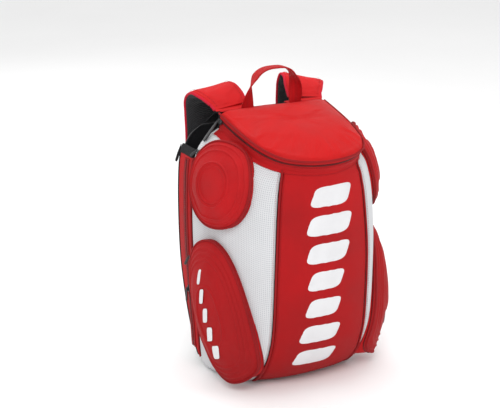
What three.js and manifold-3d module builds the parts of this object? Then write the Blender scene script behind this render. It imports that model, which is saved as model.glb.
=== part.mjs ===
// Racket backpack: soft shell with a zipped lid, a racket compartment behind the main one,
// moulded side pockets, padded shoulder straps and a haul handle.
// Millimetres, +Z up, front towards -Y, wearer's back towards +Y, base on Z = 0.
import * as THREE from "three";
import Module from "manifold-3d";

const wasm = await Module();
wasm.setup();
const V = (x, y, z) => new THREE.Vector3(x, y, z);
const rad = THREE.MathUtils.degToRad;

// ---------------------------------------------------------------- driving dimensions
const Y_SEAM = 60; // lid hinge seam
const Y_SIDE = 62; // rear edge of the side panels
const Y_DIVIDER = 63.4; // front face of the divider
const Y_BACK = 120; // outer face of the back panel
const LID_HINGE_Z = 480;
const LID_SLOPE = 13; // degrees, falling to the front
const DOME = 24; // rise of the lid above its seam
const FABRIC = 3; // padded wall
const GAP = 0.4;
const Y_SHIFT = -2.5; // puts the bounding box centre on the origin

// Key outlines of the shell from floor to lid seam, half plan each. z and slope place the outline,
// b is the half width at the rear edge, f the corner where the front panel starts, y the front's
// foremost point; s1 s2 shape the side and f1 f2 the front.
const KEYS = [
  { z: 0, slope: 0, b: 140, s1: [140, 30], s2: [124, -12], f: [93, -33], f1: [66, -42], f2: 32, y: -46 },
  { z: 12, slope: 0, b: 149, s1: [151, 24], s2: [130, -30], f: [95, -54], f1: [68, -65], f2: 32, y: -70 },
  { z: 38, slope: 0, b: 153, s1: [148, 8], s2: [132, -62], f: [95, -80], f1: [68, -93], f2: 33, y: -98 },
  { z: 75, slope: 0, b: 155, s1: [146, 0], s2: [134, -84], f: [93, -101], f1: [67, -114], f2: 33, y: -120 },
  { z: 130, slope: 0, b: 158, s1: [144, -5], s2: [134, -98], f: [92, -115], f1: [66, -128], f2: 33, y: -135 },
  { z: 247, slope: 0, b: 163, s1: [146, -5], s2: [134, -104], f: [90, -122], f1: [64, -134], f2: 32, y: -141 },
  { z: 347, slope: 2, b: 162, s1: [145, -5], s2: [131, -103], f: [84, -119], f1: [60, -131], f2: 30, y: -139 },
  { z: 402, slope: 5, b: 156, s1: [137, -4], s2: [121, -97], f: [78, -115], f1: [57, -128], f2: 28, y: -138 },
  { z: 432, slope: 10, b: 141, s1: [126, -2], s2: [112, -88], f: [74, -112], f1: [54, -127], f2: 27, y: -138 },
  { z: 453, slope: LID_SLOPE, b: 108, s1: [109, 0], s2: [105, -84], f: [72, -110], f1: [52, -127], f2: 26, y: -138 },
  {
    z: LID_HINGE_Z, slope: LID_SLOPE, b: 106, s1: [106, -12], s2: [107, -92], f: [74, -128],
    f1: [54, -146], f2: 26, y: -152,
  },
];
const V_BAND = 9; // lower edge of the lid band
const V_LID = 10; // lid seam

// ---------------------------------------------------------------- materials
const RED = [0xc8202b, 0.62, 0];
const DARK_RED = [0xa81c26, 0.66, 0];
const BRIGHT_RED = [0xd4212c, 0.55, 0];
const WHITE = [0xe9eaec, 0.7, 0];
const BLACK = [0x17181a, 0.75, 0];
const PLASTIC = [0x1b1c1e, 0.4, 0];

const group = new THREE.Group();
group.name = "racket_backpack";
group.position.y = Y_SHIFT;

function add(name, geometry, [colour, roughness, metalness]) {
  const m = new THREE.Mesh(geometry, new THREE.MeshStandardMaterial({ color: colour, roughness, metalness }));
  m.name = name;
  group.add(m);
  return m;
}

// ---------------------------------------------------------------- mesh helpers
function geometryOf(points, faces) {
  const g = new THREE.BufferGeometry();
  g.setAttribute("position", new THREE.Float32BufferAttribute(points.flatMap((p) => [p.x, p.y, p.z]), 3));
  g.setIndex(faces);
  return g;
}

function volumeOf(points, faces) {
  let v = 0;
  for (let i = 0; i < faces.length; i += 3) {
    const [a, b, c] = [points[faces[i]], points[faces[i + 1]], points[faces[i + 2]]];
    v += a.dot(b.clone().cross(c));
  }
  return v;
}

// Closed solid between two grids of the same size. closed joins the last column to the first.
function slab(outer, inner, closed = false) {
  const rows = outer.length;
  const cols = outer[0].length;
  const points = [...outer.flat(), ...inner.flat()];
  const n = rows * cols;
  const faces = [];
  const quad = (a, b, c, d) => faces.push(a, b, c, a, c, d);
  const wrap = closed ? cols : cols - 1;
  for (let i = 0; i < rows - 1; i++)
    for (let j = 0; j < wrap; j++) {
      const [a, b] = [i * cols + j, i * cols + ((j + 1) % cols)];
      quad(a, b, b + cols, a + cols);
      quad(n + b, n + a, n + a + cols, n + b + cols);
    }
  for (let j = 0; j < wrap; j++) {
    const k = (j + 1) % cols;
    quad(n + j, n + k, k, j);
    const r = (rows - 1) * cols;
    quad(r + j, r + k, n + r + k, n + r + j);
  }
  if (!closed)
    for (let i = 0; i < rows - 1; i++) {
      const [a, b] = [i * cols, (i + 1) * cols];
      quad(a, b, n + b, n + a);
      const [c, d] = [a + cols - 1, b + cols - 1];
      quad(d, c, n + c, n + d);
    }
  if (volumeOf(points, faces) < 0) faces.reverse();
  return geometryOf(points, faces);
}

// Closed solid through rings of equal length, with a fan on each end.
function loft(rings) {
  const n = rings[0].length;
  const points = rings.flat();
  const faces = [];
  for (let i = 0; i < rings.length - 1; i++)
    for (let j = 0; j < n; j++) {
      const [a, b] = [i * n + j, i * n + ((j + 1) % n)];
      faces.push(a, b, b + n, a, b + n, a + n);
    }
  for (const [ring, flip] of [[0, true], [rings.length - 1, false]]) {
    const c = rings[ring].reduce((s, p) => s.add(p), V(0, 0, 0)).divideScalar(n);
    points.push(c);
    for (let j = 0; j < n; j++) {
      const [a, b] = [ring * n + j, ring * n + ((j + 1) % n)];
      faces.push(...(flip ? [b, a, points.length - 1] : [a, b, points.length - 1]));
    }
  }
  if (volumeOf(points, faces) < 0) faces.reverse();
  return geometryOf(points, faces);
}

function solid(geometry) {
  return new wasm.Manifold(
    new wasm.Mesh({
      numProp: 3,
      vertProperties: new Float32Array(geometry.attributes.position.array),
      triVerts: new Uint32Array(geometry.index.array),
    }),
  );
}

function fromSolid(s) {
  const m = s.getMesh();
  const g = new THREE.BufferGeometry();
  g.setAttribute("position", new THREE.Float32BufferAttribute(Array.from(m.vertProperties), 3));
  g.setIndex(Array.from(m.triVerts));
  return g;
}

// Box with rounded corners seen along its third axis: a, b, c are unit directions.
function plate(centre, a, b, c, w, h, t, r, steps = 3) {
  const ring = (k) => {
    const out = [];
    for (const [sx, sy, start] of [[1, 1, 0], [-1, 1, 90], [-1, -1, 180], [1, -1, 270]])
      for (let i = 0; i <= steps; i++) {
        const q = rad(start + (90 * i) / steps);
        const x = sx * (w / 2 - r) + r * Math.cos(q);
        const y = sy * (h / 2 - r) + r * Math.sin(q);
        out.push(centre.clone().addScaledVector(a, x).addScaledVector(b, y).addScaledVector(c, (k * t) / 2));
      }
    return out;
  };
  return loft([ring(-1), ring(1)]);
}

// Flat or oval band swept through stations {p, w, t, across}: across is the width direction.
function band(stations, sides = 8, power = 4) {
  const rings = stations.map((s, i) => {
    const a = stations[Math.max(0, i - 1)].p;
    const b = stations[Math.min(stations.length - 1, i + 1)].p;
    const along = b.clone().sub(a).normalize();
    const across = s.across.clone().addScaledVector(along, -s.across.dot(along)).normalize();
    const out = along.clone().cross(across);
    return Array.from({ length: sides }, (_, k) => {
      const q = ((k + 0.5) / sides) * 2 * Math.PI;
      const round = (x) => Math.sign(x) * Math.abs(x) ** (2 / power);
      return s.p.clone()
        .addScaledVector(across, (s.w / 2) * round(Math.cos(q)))
        .addScaledVector(out, (s.t / 2) * round(Math.sin(q)));
    });
  });
  return loft(rings);
}

// ---------------------------------------------------------------- shell surface
const spline = (a, b, c, d, t) =>
  0.5 * (2 * b + (c - a) * t + (2 * a - 5 * b + 4 * c - d) * t * t + (3 * b - a - 3 * c + d) * t ** 3);
const numbersOf = (k) => [k.z, k.slope, k.b, ...k.s1, ...k.s2, ...k.f, ...k.f1, k.f2, k.y];

// Outline numbers at height index v: smooth below the band, straight across it.
function outline(v) {
  const i = Math.min(Math.floor(v), V_LID - 1);
  const t = v - i;
  const key = (n, top) => numbersOf(KEYS[Math.max(0, Math.min(n, top))]);
  if (i >= V_BAND) {
    const [a, b] = [key(V_BAND, V_LID), key(V_LID, V_LID)];
    return a.map((x, n) => x + (b[n] - x) * t);
  }
  const [a, b, c, d] = [i - 1, i, i + 1, i + 2].map((n) => key(n, V_BAND));
  return b.map((_, n) => spline(a[n], b[n], c[n], d[n], t));
}

const bezier = (a, b, c, d, t) =>
  a * (1 - t) ** 3 + 3 * b * t * (1 - t) ** 2 + 3 * c * t * t * (1 - t) + d * t ** 3;

// Point of the shell: side -1 or 1; t runs 0 to 1 from the rear edge to the front corner,
// and 1 to 2 across the front to the centre line.
function shell(side, v, t) {
  const [z, slope, b, ax, ay, cx, cy, fx, fy, gx, gy, hx, front] = outline(v);
  const [x, y] = t <= 1
    ? [bezier(b, ax, cx, fx, t), bezier(Y_SIDE, ay, cy, fy, t)]
    : [bezier(fx, gx, hx, 0, t - 1), bezier(fy, gy, front, front, t - 1)];
  return V(side * x, y, z - Math.tan(rad(slope)) * (Y_SIDE - y));
}

// Outward unit normal of the shell, one-sided at the front corner.
function shellNormal(side, v, t) {
  const e = 0.02;
  const [t0, t1] = t <= 1 ? [Math.max(0, t - e), Math.min(1, t + e)] : [t - e, t + e];
  const [v0, v1] = v <= V_BAND
    ? [Math.max(0, v - e), Math.min(V_BAND, v + e)]
    : [Math.max(V_BAND, v - e), Math.min(V_LID, v + e)];
  const across = (tt) => (tt > 2 ? shell(-side, v, 4 - tt) : shell(side, v, tt));
  const d = across(t1).sub(across(t0));
  const up = shell(side, v1, Math.min(t, 2)).sub(shell(side, v0, Math.min(t, 2)));
  return d.cross(up).multiplyScalar(-side).normalize();
}

const steps = (a, b, n) => Array.from({ length: n + 1 }, (_, i) => a + ((b - a) * i) / n);

// Grids of shell points for rows vs and columns ts, lifted by off along the normal.
const shellGrid = (side, vs, ts, off) =>
  vs.map((v) => ts.map((t) => shell(side, v, t).addScaledVector(shellNormal(side, v, t), off)));

// Columns across the whole front, corner to corner.
const frontGrid = (vs, half, off) =>
  vs.map((v) => {
    const row = (side) => half.map((t) => shell(side, v, t).addScaledVector(shellNormal(side, v, t), off));
    return [...row(-1), ...row(1).reverse().slice(1)];
  });

const rowsUpTo = (v) => steps(0, v, 2 * v);
const SEAM_T = 0.022; // half the slot for the piping, in t

// Half width of the rear outline, and its point list from floor to lid.
const rearPoints = steps(0, V_BAND, 32).map((v) => ({ z: outline(v)[0], w: outline(v)[2] }));
function rearWidth(z) {
  for (let i = 1; i < rearPoints.length; i++)
    if (z <= rearPoints[i].z) {
      const [a, b] = [rearPoints[i - 1], rearPoints[i]];
      return a.w + ((b.w - a.w) * Math.max(0, z - a.z)) / (b.z - a.z);
    }
  return rearPoints[rearPoints.length - 1].w;
}

function rearNormal(z) {
  return V(1, 0, -(rearWidth(z + 1) - rearWidth(z - 1)) / 2).normalize();
}

// Rear face of the bag: flat above, tucked in under the lumbar zone.
const TUCK_Z = 207;
const TUCK_LOW = 12;
function rearY(z) {
  if (z >= TUCK_Z) return Y_BACK;
  const q = Math.min(1, (TUCK_Z - z) / (TUCK_Z - TUCK_LOW)) ** 1.6;
  return 66 + (Y_BACK - 66) * (1 - q) ** (1 / 1.4);
}

// ---------------------------------------------------------------- body panels
for (const [side, word] of [[-1, "left"], [1, "right"]]) {
  const ts = steps(0, 1 - SEAM_T, 9);
  add(`side_panel_${word}`, slab(shellGrid(side, rowsUpTo(V_BAND), ts, 0), shellGrid(side, rowsUpTo(V_BAND), ts, -FABRIC)), WHITE);
}

const frontTs = steps(1 + SEAM_T, 2, 5);
add("front_panel", slab(frontGrid(rowsUpTo(V_BAND), frontTs, 0), frontGrid(rowsUpTo(V_BAND), frontTs, -FABRIC)), RED);

// Piping cord in the slot between side and front panels.
for (const [side, word] of [[-1, "left"], [1, "right"]]) {
  const stations = steps(0.12, V_BAND - 0.1, 24).map((v) => {
    const n = shellNormal(side, v, 0.999).add(shellNormal(side, v, 1.03)).normalize();
    return { p: shell(side, v, 1).addScaledVector(n, -0.4), w: 2.4, t: 2.4, across: n };
  });
  add(`front_piping_${word}`, band(stations, 6, 2), DARK_RED);
}

// Flat base plate inside the lowest outline.
{
  const ring = (z) => {
    const half = (side) => [...steps(0, 1, 5).map((t) => shell(side, 0, t)), shell(side, 0, 1.5)]
      .map((p) => V(p.x * 0.955, p.y < Y_SIDE - 1 ? p.y * 0.93 : Y_SIDE - 0.6, z));
    return [...half(-1), V(0, shell(1, 0, 2).y * 0.93, z), ...half(1).reverse()];
  };
  add("base_panel", loft([ring(0), ring(2.4)]), BLACK);
}

// Divider between the main and the racket compartment.
function rearShape(inset, low, high) {
  const zs = [low, ...rearPoints.map((p) => p.z).filter((z, i) => z > low + 3 && z < high - 3 && i % 2 === 0), high];
  const right = zs.map((z) => new THREE.Vector2(rearWidth(z) - inset, z));
  return [...right, ...right.map((p) => new THREE.Vector2(-p.x, p.y)).reverse()];
}
function plank(shape, y0, y1) {
  const ring = (y) => shape.map((p) => V(p.x, y, p.y));
  return loft([ring(y0), ring(y1)]);
}
add("divider_panel", plank(rearShape(3.4, 0.6, 476), Y_DIVIDER, Y_DIVIDER + FABRIC), BLACK);

// Back panel, following the tucked rear face.
{
  const grid = (off) => steps(0, 1, 16).map((q) => {
    const z = 21 + (447 - 21) * q;
    const slope = (rearY(z + 1) - rearY(z - 1)) / 2;
    const n = V(0, 1, -slope).normalize();
    const half = rearWidth(z) - (FABRIC + 2 * GAP) / Math.max(0.3, rearNormal(z).x);
    return steps(-1, 1, 6).map((x) => V(x * half, rearY(z), z).addScaledVector(n, off));
  });
  add("back_panel", slab(grid(0), grid(-4)), BLACK);
}

// Gussets around the racket compartment: the left one stops at the open hem, the right one closes.
const HEM_Z = 403;
function gusset(side, zs, y0, lift, thick) {
  const grid = (off) => zs.map((z) => {
    const n = rearNormal(z);
    return [0, 1].map((k) => {
      const p = V(rearWidth(z), k ? rearY(z) : y0, z).addScaledVector(n, off);
      return V(side * p.x, p.y, p.z);
    });
  });
  return slab(grid(lift), grid(lift - thick));
}
const Y_GUSSET = Y_DIVIDER + FABRIC + GAP;
add("racket_gusset_left", gusset(-1, steps(20, HEM_Z, 16), Y_GUSSET, 0, FABRIC), DARK_RED);
add("racket_gusset_right", gusset(1, [...steps(20, 387, 14), 402, 415, 427, 437, 445, 450], Y_GUSSET, 0, FABRIC), DARK_RED);
add("racket_hem_left", gusset(-1, [HEM_Z + 1, 410, 417], Y_GUSSET, 0.8, FABRIC + 1.2), BLACK);

// Yoke that closes the racket compartment behind the lid hinge.
const YOKE_Z = LID_HINGE_Z - 1.5;
const YOKE_FLAT = 79;
{
  const profile = [[61.2, YOKE_Z], [YOKE_FLAT, YOKE_Z], [121, 452]];
  const grid = (off) => profile.map(([y, z]) => steps(-105, 105, 4).map((x) => V(x, y, z - off)));
  add("top_yoke", slab(grid(0), grid(2.4)), BLACK);
}

// ---------------------------------------------------------------- lid
const lidPlane = (y) => LID_HINGE_Z - Math.tan(rad(LID_SLOPE)) * (Y_SIDE - y);
function lidRim(inset) {
  const half = (side) => [...steps(0.03, 1, 8), ...steps(1.2, 1.8, 3)].map((t) => shell(side, V_LID, t));
  const ring = [...half(-1), shell(1, V_LID, 2), ...half(1).reverse()];
  const rear = steps(1, -1, 6).slice(1, -1).map((x) => V(x * 104, Y_SEAM, lidPlane(Y_SEAM)));
  const c = V(0, -42, 0);
  return [...ring, ...rear].map((p) => {
    const d = V(p.x - c.x, p.y - c.y, 0);
    const q = d.clone().multiplyScalar(1 - inset / d.length()).add(c);
    q.y = Math.min(q.y, Y_SEAM - 0.4);
    return q;
  });
}
{
  const radii = [1, 0.95, 0.88, 0.76, 0.58, 0.34, 0.1];
  const dome = (rim, drop) => radii.map((r) => rim.map((p) => {
    const q = V(p.x * r, -42 + (p.y + 42) * r, 0);
    q.z = lidPlane(q.y) + drop + DOME * (1 - r ** 3.2);
    return q;
  }));
  const outer = dome(lidRim(1.2), 0.6);
  const inner = dome(lidRim(5), -3.2);
  inner[0].forEach((p) => { p.z += 2.2; });
  add("lid_panel", loft([...outer.reverse(), ...inner]), BRIGHT_RED);
}
function bandStrip(v0, v1, lift, thick, t0 = 0.03) {
  const ts = [...steps(t0, 1, 9), ...steps(1.2, 2, 4)];
  const grid = (off) => [v0, v1].map((v) => {
    const row = (side) => ts.map((t) => shell(side, v, t).addScaledVector(shellNormal(side, 9.5, t), off));
    return [...row(-1), ...row(1).reverse().slice(1)];
  });
  return slab(grid(lift), grid(lift - thick));
}
add("lid_piping", bandStrip(9.93, 9.99, 1.9, 2.1, 0.012), DARK_RED);
add("lid_band", bandStrip(9.66, 9.9, 0, 2.6), RED);
add("lid_zip_tape", bandStrip(9.5, 9.645, -0.5, 2), DARK_RED);
add("lower_band", bandStrip(9.03, 9.485, 0, 2.6), RED);

// Lid zip slider at the rear left end of the zip, and its moulded pull.
const zipAt = (t) => shell(-1, 9.57, t);
const zipDir = V(0, -Math.cos(rad(LID_SLOPE)), -Math.sin(rad(LID_SLOPE)));
const sliderCentre = zipAt(0.06).add(V(-3.4, 0, 0));
add("lid_zip_slider", plate(sliderCentre, zipDir, V(-1, 0, 0).cross(zipDir), V(-1, 0, 0), 13, 9, 4.4, 2), PLASTIC);
const pullDown = V(-0.62, 0.05, -0.78).normalize();
const pullTop = sliderCentre.clone().add(V(-4.4, 1, 1));
function pull(name, top, down, face, length, width, thick) {
  const c = top.clone().addScaledVector(down, length / 2);
  const across = down.clone().cross(face).normalize();
  const out = across.clone().cross(down).normalize();
  add(name, plate(c, across, down, out, width, length, thick, width * 0.4), PLASTIC);
}
pull("lid_zip_pull", pullTop, pullDown, V(-0.78, 0, 0.62), 42, 9, 3);

// ---------------------------------------------------------------- haul handle
{
  const feet = 48;
  const top = 554;
  const stations = steps(0, 1, 18).map((q) => {
    const a = Math.PI * (1 - q);
    const x = -feet * Math.sign(Math.cos(Math.PI * q)) * Math.abs(Math.cos(Math.PI * q)) ** 0.7;
    const z = LID_HINGE_Z - 0.8 + (top - 1.6 - LID_HINGE_Z) * Math.sin(a) ** 0.7;
    const h = (z - LID_HINGE_Z) / (top - LID_HINGE_Z);
    const turn = rad(90 * Math.min(1, h * 1.3)) * (q < 0.5 ? 1 : -1);
    const y = 65 - 13 * h;
    return { p: V(x, y, z), w: 24, t: 3, across: V(Math.cos(turn), Math.sin(turn), 0) };
  });
  // the right half mirrors the left, so its width direction is turned the same way round
  stations.forEach((s) => { if (s.p.x > 0.01) s.across.multiplyScalar(-1); });
  add("haul_handle", band(stations, 8, 6), RED);
}

// ---------------------------------------------------------------- shoulder straps
// Centre line of a strap: half spacing, Y and Z, with its width; tilt drops the outer edge at the crest.
const STRAP = [
  [76, 77.5, 483.4, 68, 0], [79, 90, 497, 74, 0.4], [87, 106, 507, 80, 0.8], [93, 124, 508, 86, 1],
  [95, 141, 493, 84, 0.8], [94, 150, 466, 78, 0.5], [94, 153, 416, 73, 0.2], [98, 153, 346, 69, 0],
  [106, 151, 270, 64, 0], [113, 147, 205, 54, 0], [115, 145, 191, 44, 0],
];
const STRAP_T = 11;
for (const [side, word, tilt] of [[-1, "left", 7], [1, "right", 16]]) {
  const stations = [];
  for (let i = 0; i < STRAP.length - 1; i++)
    for (const t of i === STRAP.length - 2 ? [0, 0.5, 1] : [0, 0.5]) {
      const k = (n) => STRAP[Math.max(0, Math.min(n, STRAP.length - 1))];
      const [x, y, z, w, lean] = [0, 1, 2, 3, 4].map((n) => spline(k(i - 1)[n], k(i)[n], k(i + 1)[n], k(i + 2)[n], t));
      const a = rad(tilt * lean);
      stations.push({
        p: V(side * x, y, z), w, t: STRAP_T * (z < 195 || y < 79 ? 0.6 : 1),
        across: V(side * Math.cos(a), 0, -Math.sin(a)),
      });
    }
  add(`shoulder_strap_${word}`, band(stations, 8, 4), RED);

  // Ladder lock on the strap's end: a frame with two slots and a middle bar.
  const lockC = V(side * 117, 143.2, 173);
  const down = V(side * 0.1, -0.16, -0.98).normalize();
  const out = V(0, 1, 0).addScaledVector(down, -down.y).normalize();
  const across = down.clone().cross(out).normalize();
  const frame = solid(plate(lockC, across, down, out, 38, 28, 5, 4));
  const slot = (d) => solid(plate(lockC.clone().addScaledVector(down, d), across, down, out, 27, 6, 9, 1.5));
  add(`ladder_lock_${word}`, fromSolid(frame.subtract(slot(-6)).subtract(slot(6))), PLASTIC);

  // Anchor tab low on the back, stood off the panel by a sewn stem.
  const tab = solid(plate(V(side * 127, 107, 56), V(1, 0, 0), V(0, 0, 1), V(0, 1, 0), 27, 36, 4, 9, 4));
  const stem = solid(plate(V(side * 127, 98, 50), V(1, 0, 0), V(0, 0, 1), V(0, 1, 0), 24, 6, 17, 1.5, 1));
  add(`strap_anchor_${word}`, fromSolid(tab.add(stem)), BLACK);

  // Webbing between anchor and ladder lock, and the free tail that hangs from the lock.
  const web = [[126.5, 110.6, 61], [126, 114, 79], [123, 123, 107], [120, 133, 136], [118, 140.5, 158]];
  add(`strap_webbing_${word}`, band(web.map(([x, y, z]) => ({ p: V(side * x, y, z), w: 25, t: 1.6, across: V(side, 0, 0) })), 4, 8), BLACK);
  const tail = [[117, 147.4, 173], [117.5, 147.8, 155], [118.5, 147.4, 130], [119, 147, 105], [119, 147, 87]];
  add(`strap_tail_${word}`, band(tail.map(([x, y, z]) => ({ p: V(side * x, y, z), w: 25, t: 1.8, across: V(side, 0, 0) })), 4, 8), BLACK);
}

// ---------------------------------------------------------------- back padding
// Crowned pad on the rear face: centre x, z and half sizes.
function backPad(cx, cz, a, b, rise, power) {
  const around = steps(0, 360, 20).slice(0, -1).map(rad);
  const at = (r, lift) => around.map((q) => {
    const round = (x) => Math.sign(x) * Math.abs(x) ** (2 / power);
    const [x, z] = [cx + a * r * round(Math.cos(q)), cz + b * r * round(Math.sin(q))];
    return V(x, rearY(z) + 0.5 + lift, z);
  });
  return loft([at(0.3, 0), at(1, 0), at(1, rise * 0.4), at(0.9, rise * 0.85), at(0.55, rise)]);
}
for (const [side, word] of [[-1, "left"], [1, "right"]]) add(`back_pad_${word}`, backPad(side * 62, 329, 44, 98, 9, 3.2), BLACK);
add("lumbar_pad", backPad(0, 176, 104, 38, 9, 3.4), BLACK);

// ---------------------------------------------------------------- moulded side pockets
// The part of the shell that pockets sit against, filled in and grown by a clearance.
const envelope = (() => {
  const ts = [...steps(0, 1, 12), ...steps(1.25, 1.75, 2)];
  const rings = [...steps(0, V_BAND, 27), 9.5, V_LID].map((v) => {
    const half = (side) => ts.map((t) => shell(side, v, t).addScaledVector(shellNormal(side, v, t), GAP + 0.9));
    const rear = (side) => {
      const p = half(side)[0];
      return V(p.x, Y_BACK + 2, p.z);
    };
    return [rear(-1), ...half(-1), shell(1, v, 2).add(V(0, -0.5, 0)), ...half(1).reverse(), rear(1)];
  });
  const low = rings[0].map((p) => p.clone().add(V(0, 0, -40)));
  return solid(loft([low, ...rings]));
})();

const POCKETS = {
  upper: { c: [143.5, -15, 372], yaw: 14, lean: 13, twist: 0, a: 76, b: 76, power: 2, dome: 21, lip: 4, sink: 80 },
  lower: { c: [149, -29, 144], yaw: 18, lean: 1, twist: 20, a: 67, b: 130, power: 2.25, dome: 35, lip: 6, sink: 80 },
};
for (const [side, word] of [[-1, "left"], [1, "right"]])
  for (const [level, p] of Object.entries(POCKETS)) {
    const [yaw, lean] = [rad(p.yaw), rad(p.lean)];
    const n = V(side * Math.cos(yaw) * Math.cos(lean), -Math.sin(yaw) * Math.cos(lean), Math.sin(lean));
    const level0 = V(-side * Math.sin(yaw), -Math.cos(yaw), 0);
    const rise0 = V(-side * Math.cos(yaw) * Math.sin(lean), Math.sin(yaw) * Math.sin(lean), Math.cos(lean));
    const [cosT, sinT] = [Math.cos(rad(p.twist)), Math.sin(rad(p.twist))];
    const fore = level0.clone().multiplyScalar(cosT).addScaledVector(rise0, sinT);
    const up = rise0.clone().multiplyScalar(cosT).addScaledVector(level0, -sinT);
    const c = V(side * p.c[0], p.c[1], p.c[2]);
    const at = (q, r, h) => {
      const round = (x) => Math.sign(x) * Math.abs(x) ** (2 / p.power);
      const [u, w] = [p.a * round(Math.cos(q)), p.b * round(Math.sin(q))];
      const k = Math.max(0, 1 - r / Math.hypot(u, w));
      return c.clone().addScaledVector(fore, u * k).addScaledVector(up, w * k).addScaledVector(n, h);
    };
    const around = steps(0, 360, 32).slice(0, -1).map(rad);
    const ring = (r, h) => around.map((q) => at(q, r, h));
    const tube = (r0, r1, h0, h1) => {
      const geo = slab([ring(r0, h0), ring(r0, h1)], [ring(r1, h0), ring(r1, h1)], true);
      return solid(geo);
    };
    add(`pocket_rim_${level}_${word}`, fromSolid(tube(1.2, 4.2, -p.sink, -GAP).subtract(envelope)), RED);

    const scaled = (k, h, r) => around.map((q) => {
      const edge = at(q, r, h);
      const mid = c.clone().addScaledVector(n, h);
      return mid.lerp(edge, k);
    });
    const rise = (k) => p.lip + (p.dome - p.lip) * (1 - k ** 2.6);
    const ks = [1, 0.92, 0.8, 0.62, 0.38, 0.14];
    const outer = [ring(0, 0.1), ...ks.map((k) => scaled(k, rise(k), 0))];
    const inner = [ring(3, 0.1), ...ks.map((k) => scaled(k, rise(k) - 3, 3))];
    add(`pocket_cover_${level}_${word}`, loft([...[...outer].reverse(), ...inner]), RED);

    // Slider and pull where the zip starts, high at the rear.
    const q = rad(level === "upper" ? 146 : 132);
    const tangent = at(q + 0.03, 0, 0).sub(at(q - 0.03, 0, 0)).normalize();
    const outward = tangent.clone().cross(n).normalize();
    const edge = at(q, 0, 0);
    if (outward.dot(edge.clone().sub(c)) < 0) outward.negate();
    const sc = edge.clone().addScaledVector(n, 3.2).addScaledVector(outward, 2.8);
    add(`pocket_slider_${level}_${word}`, plate(sc, tangent, n, outward, 11, 5, 4, 1.2, 2), PLASTIC);
    const top = sc.clone().addScaledVector(outward, 4.8).addScaledVector(n, 0.6);
    const hang = outward.clone().multiplyScalar(0.62).addScaledVector(up, -0.78).normalize();
    pull(`pocket_pull_${level}_${word}`, top, hang, n, 20, 5, 2);
  }

// ---------------------------------------------------------------- racket compartment zip
{
  const z = 150;
  const x = -(rearWidth(z) + 3);
  add("racket_zip_slider", plate(V(x, 86, z), V(0, 1, 0), V(0, 0, 1), V(-1, 0, 0), 9, 13, 4, 2), PLASTIC);
  pull("racket_zip_pull", V(x - 4, 86, z), V(-0.03, 0, -1).normalize(), V(-1, 0, 0), 24, 6, 2.4);
  const rear = V(-147, Y_BACK + 3.2, 409);
  add("racket_top_slider", plate(rear, V(1, 0, 0), V(0, 0, 1), V(0, 1, 0), 12, 9, 4, 2), PLASTIC);
  pull("racket_top_pull", rear.clone().add(V(-5, 4.2, 0)), V(-0.3, 0.1, -0.95).normalize(), V(0, 1, 0), 30, 5, 2.2);
}

export default group;
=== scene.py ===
import math

import bpy
import numpy as np
from mathutils import Matrix, Vector, noise
from mathutils.bvhtree import BVHTree


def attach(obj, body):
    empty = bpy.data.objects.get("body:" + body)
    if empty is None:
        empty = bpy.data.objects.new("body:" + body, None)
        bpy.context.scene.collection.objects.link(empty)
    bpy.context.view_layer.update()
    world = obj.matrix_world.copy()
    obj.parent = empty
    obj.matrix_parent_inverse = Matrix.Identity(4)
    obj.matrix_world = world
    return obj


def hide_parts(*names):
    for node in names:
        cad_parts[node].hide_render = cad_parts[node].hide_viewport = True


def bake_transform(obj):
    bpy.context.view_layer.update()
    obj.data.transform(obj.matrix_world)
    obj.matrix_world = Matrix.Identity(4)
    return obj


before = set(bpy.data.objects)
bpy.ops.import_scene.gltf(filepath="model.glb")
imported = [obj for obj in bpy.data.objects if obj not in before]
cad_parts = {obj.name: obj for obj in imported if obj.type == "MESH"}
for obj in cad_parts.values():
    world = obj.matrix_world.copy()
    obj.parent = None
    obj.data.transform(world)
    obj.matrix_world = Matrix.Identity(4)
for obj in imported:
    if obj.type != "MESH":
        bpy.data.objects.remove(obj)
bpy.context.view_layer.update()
scene = bpy.context.scene

# ---------------------------------------------------------------- driving dimensions
Y_SHIFT = -2.5
Y_SEAM, Y_SIDE, Y_DIVIDER, Y_BACK = 60, 62, 63.4, 120
LID_HINGE_Z, LID_SLOPE, DOME = 480, 13, 24
V_BAND, V_LID = 9, 10
HEM_Z = 403
WALL = 3
TAN_LID = math.tan(math.radians(LID_SLOPE))

# Key outlines of the shell: z, slope, half width b, side s1 s2, front corner f, front f1 f2, foremost y.
KEYS = np.array([
    [0, 0, 140, 140, 30, 124, -12, 93, -33, 66, -42, 32, -46],
    [12, 0, 149, 151, 24, 130, -30, 95, -54, 68, -65, 32, -70],
    [38, 0, 153, 148, 8, 132, -62, 95, -80, 68, -93, 33, -98],
    [75, 0, 155, 146, 0, 134, -84, 93, -101, 67, -114, 33, -120],
    [130, 0, 158, 144, -5, 134, -98, 92, -115, 66, -128, 33, -135],
    [247, 0, 163, 146, -5, 134, -104, 90, -122, 64, -134, 32, -141],
    [347, 2, 162, 145, -5, 131, -103, 84, -119, 60, -131, 30, -139],
    [402, 5, 156, 137, -4, 121, -97, 78, -115, 57, -128, 28, -138],
    [432, 10, 141, 126, -2, 112, -88, 74, -112, 54, -127, 27, -138],
    [453, LID_SLOPE, 108, 109, 0, 105, -84, 72, -110, 52, -127, 26, -138],
    [480, LID_SLOPE, 106, 106, -12, 107, -92, 74, -128, 54, -146, 26, -152],
], float)


def steps(a, b, n):
    return [a + (b - a) * i / n for i in range(n + 1)]


def vec(*x):
    return np.array(x, float)


def unit(a):
    return a / np.linalg.norm(a)


X_AXIS, Y_AXIS, Z_AXIS = vec(1, 0, 0), vec(0, 1, 0), vec(0, 0, 1)


def rounded(q, power):
    """Cosine and sine of q, pushed out towards a rounded box as power grows past 2."""
    return tuple(math.copysign(abs(f(q)) ** (2 / power), f(q)) for f in (math.cos, math.sin))


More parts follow.
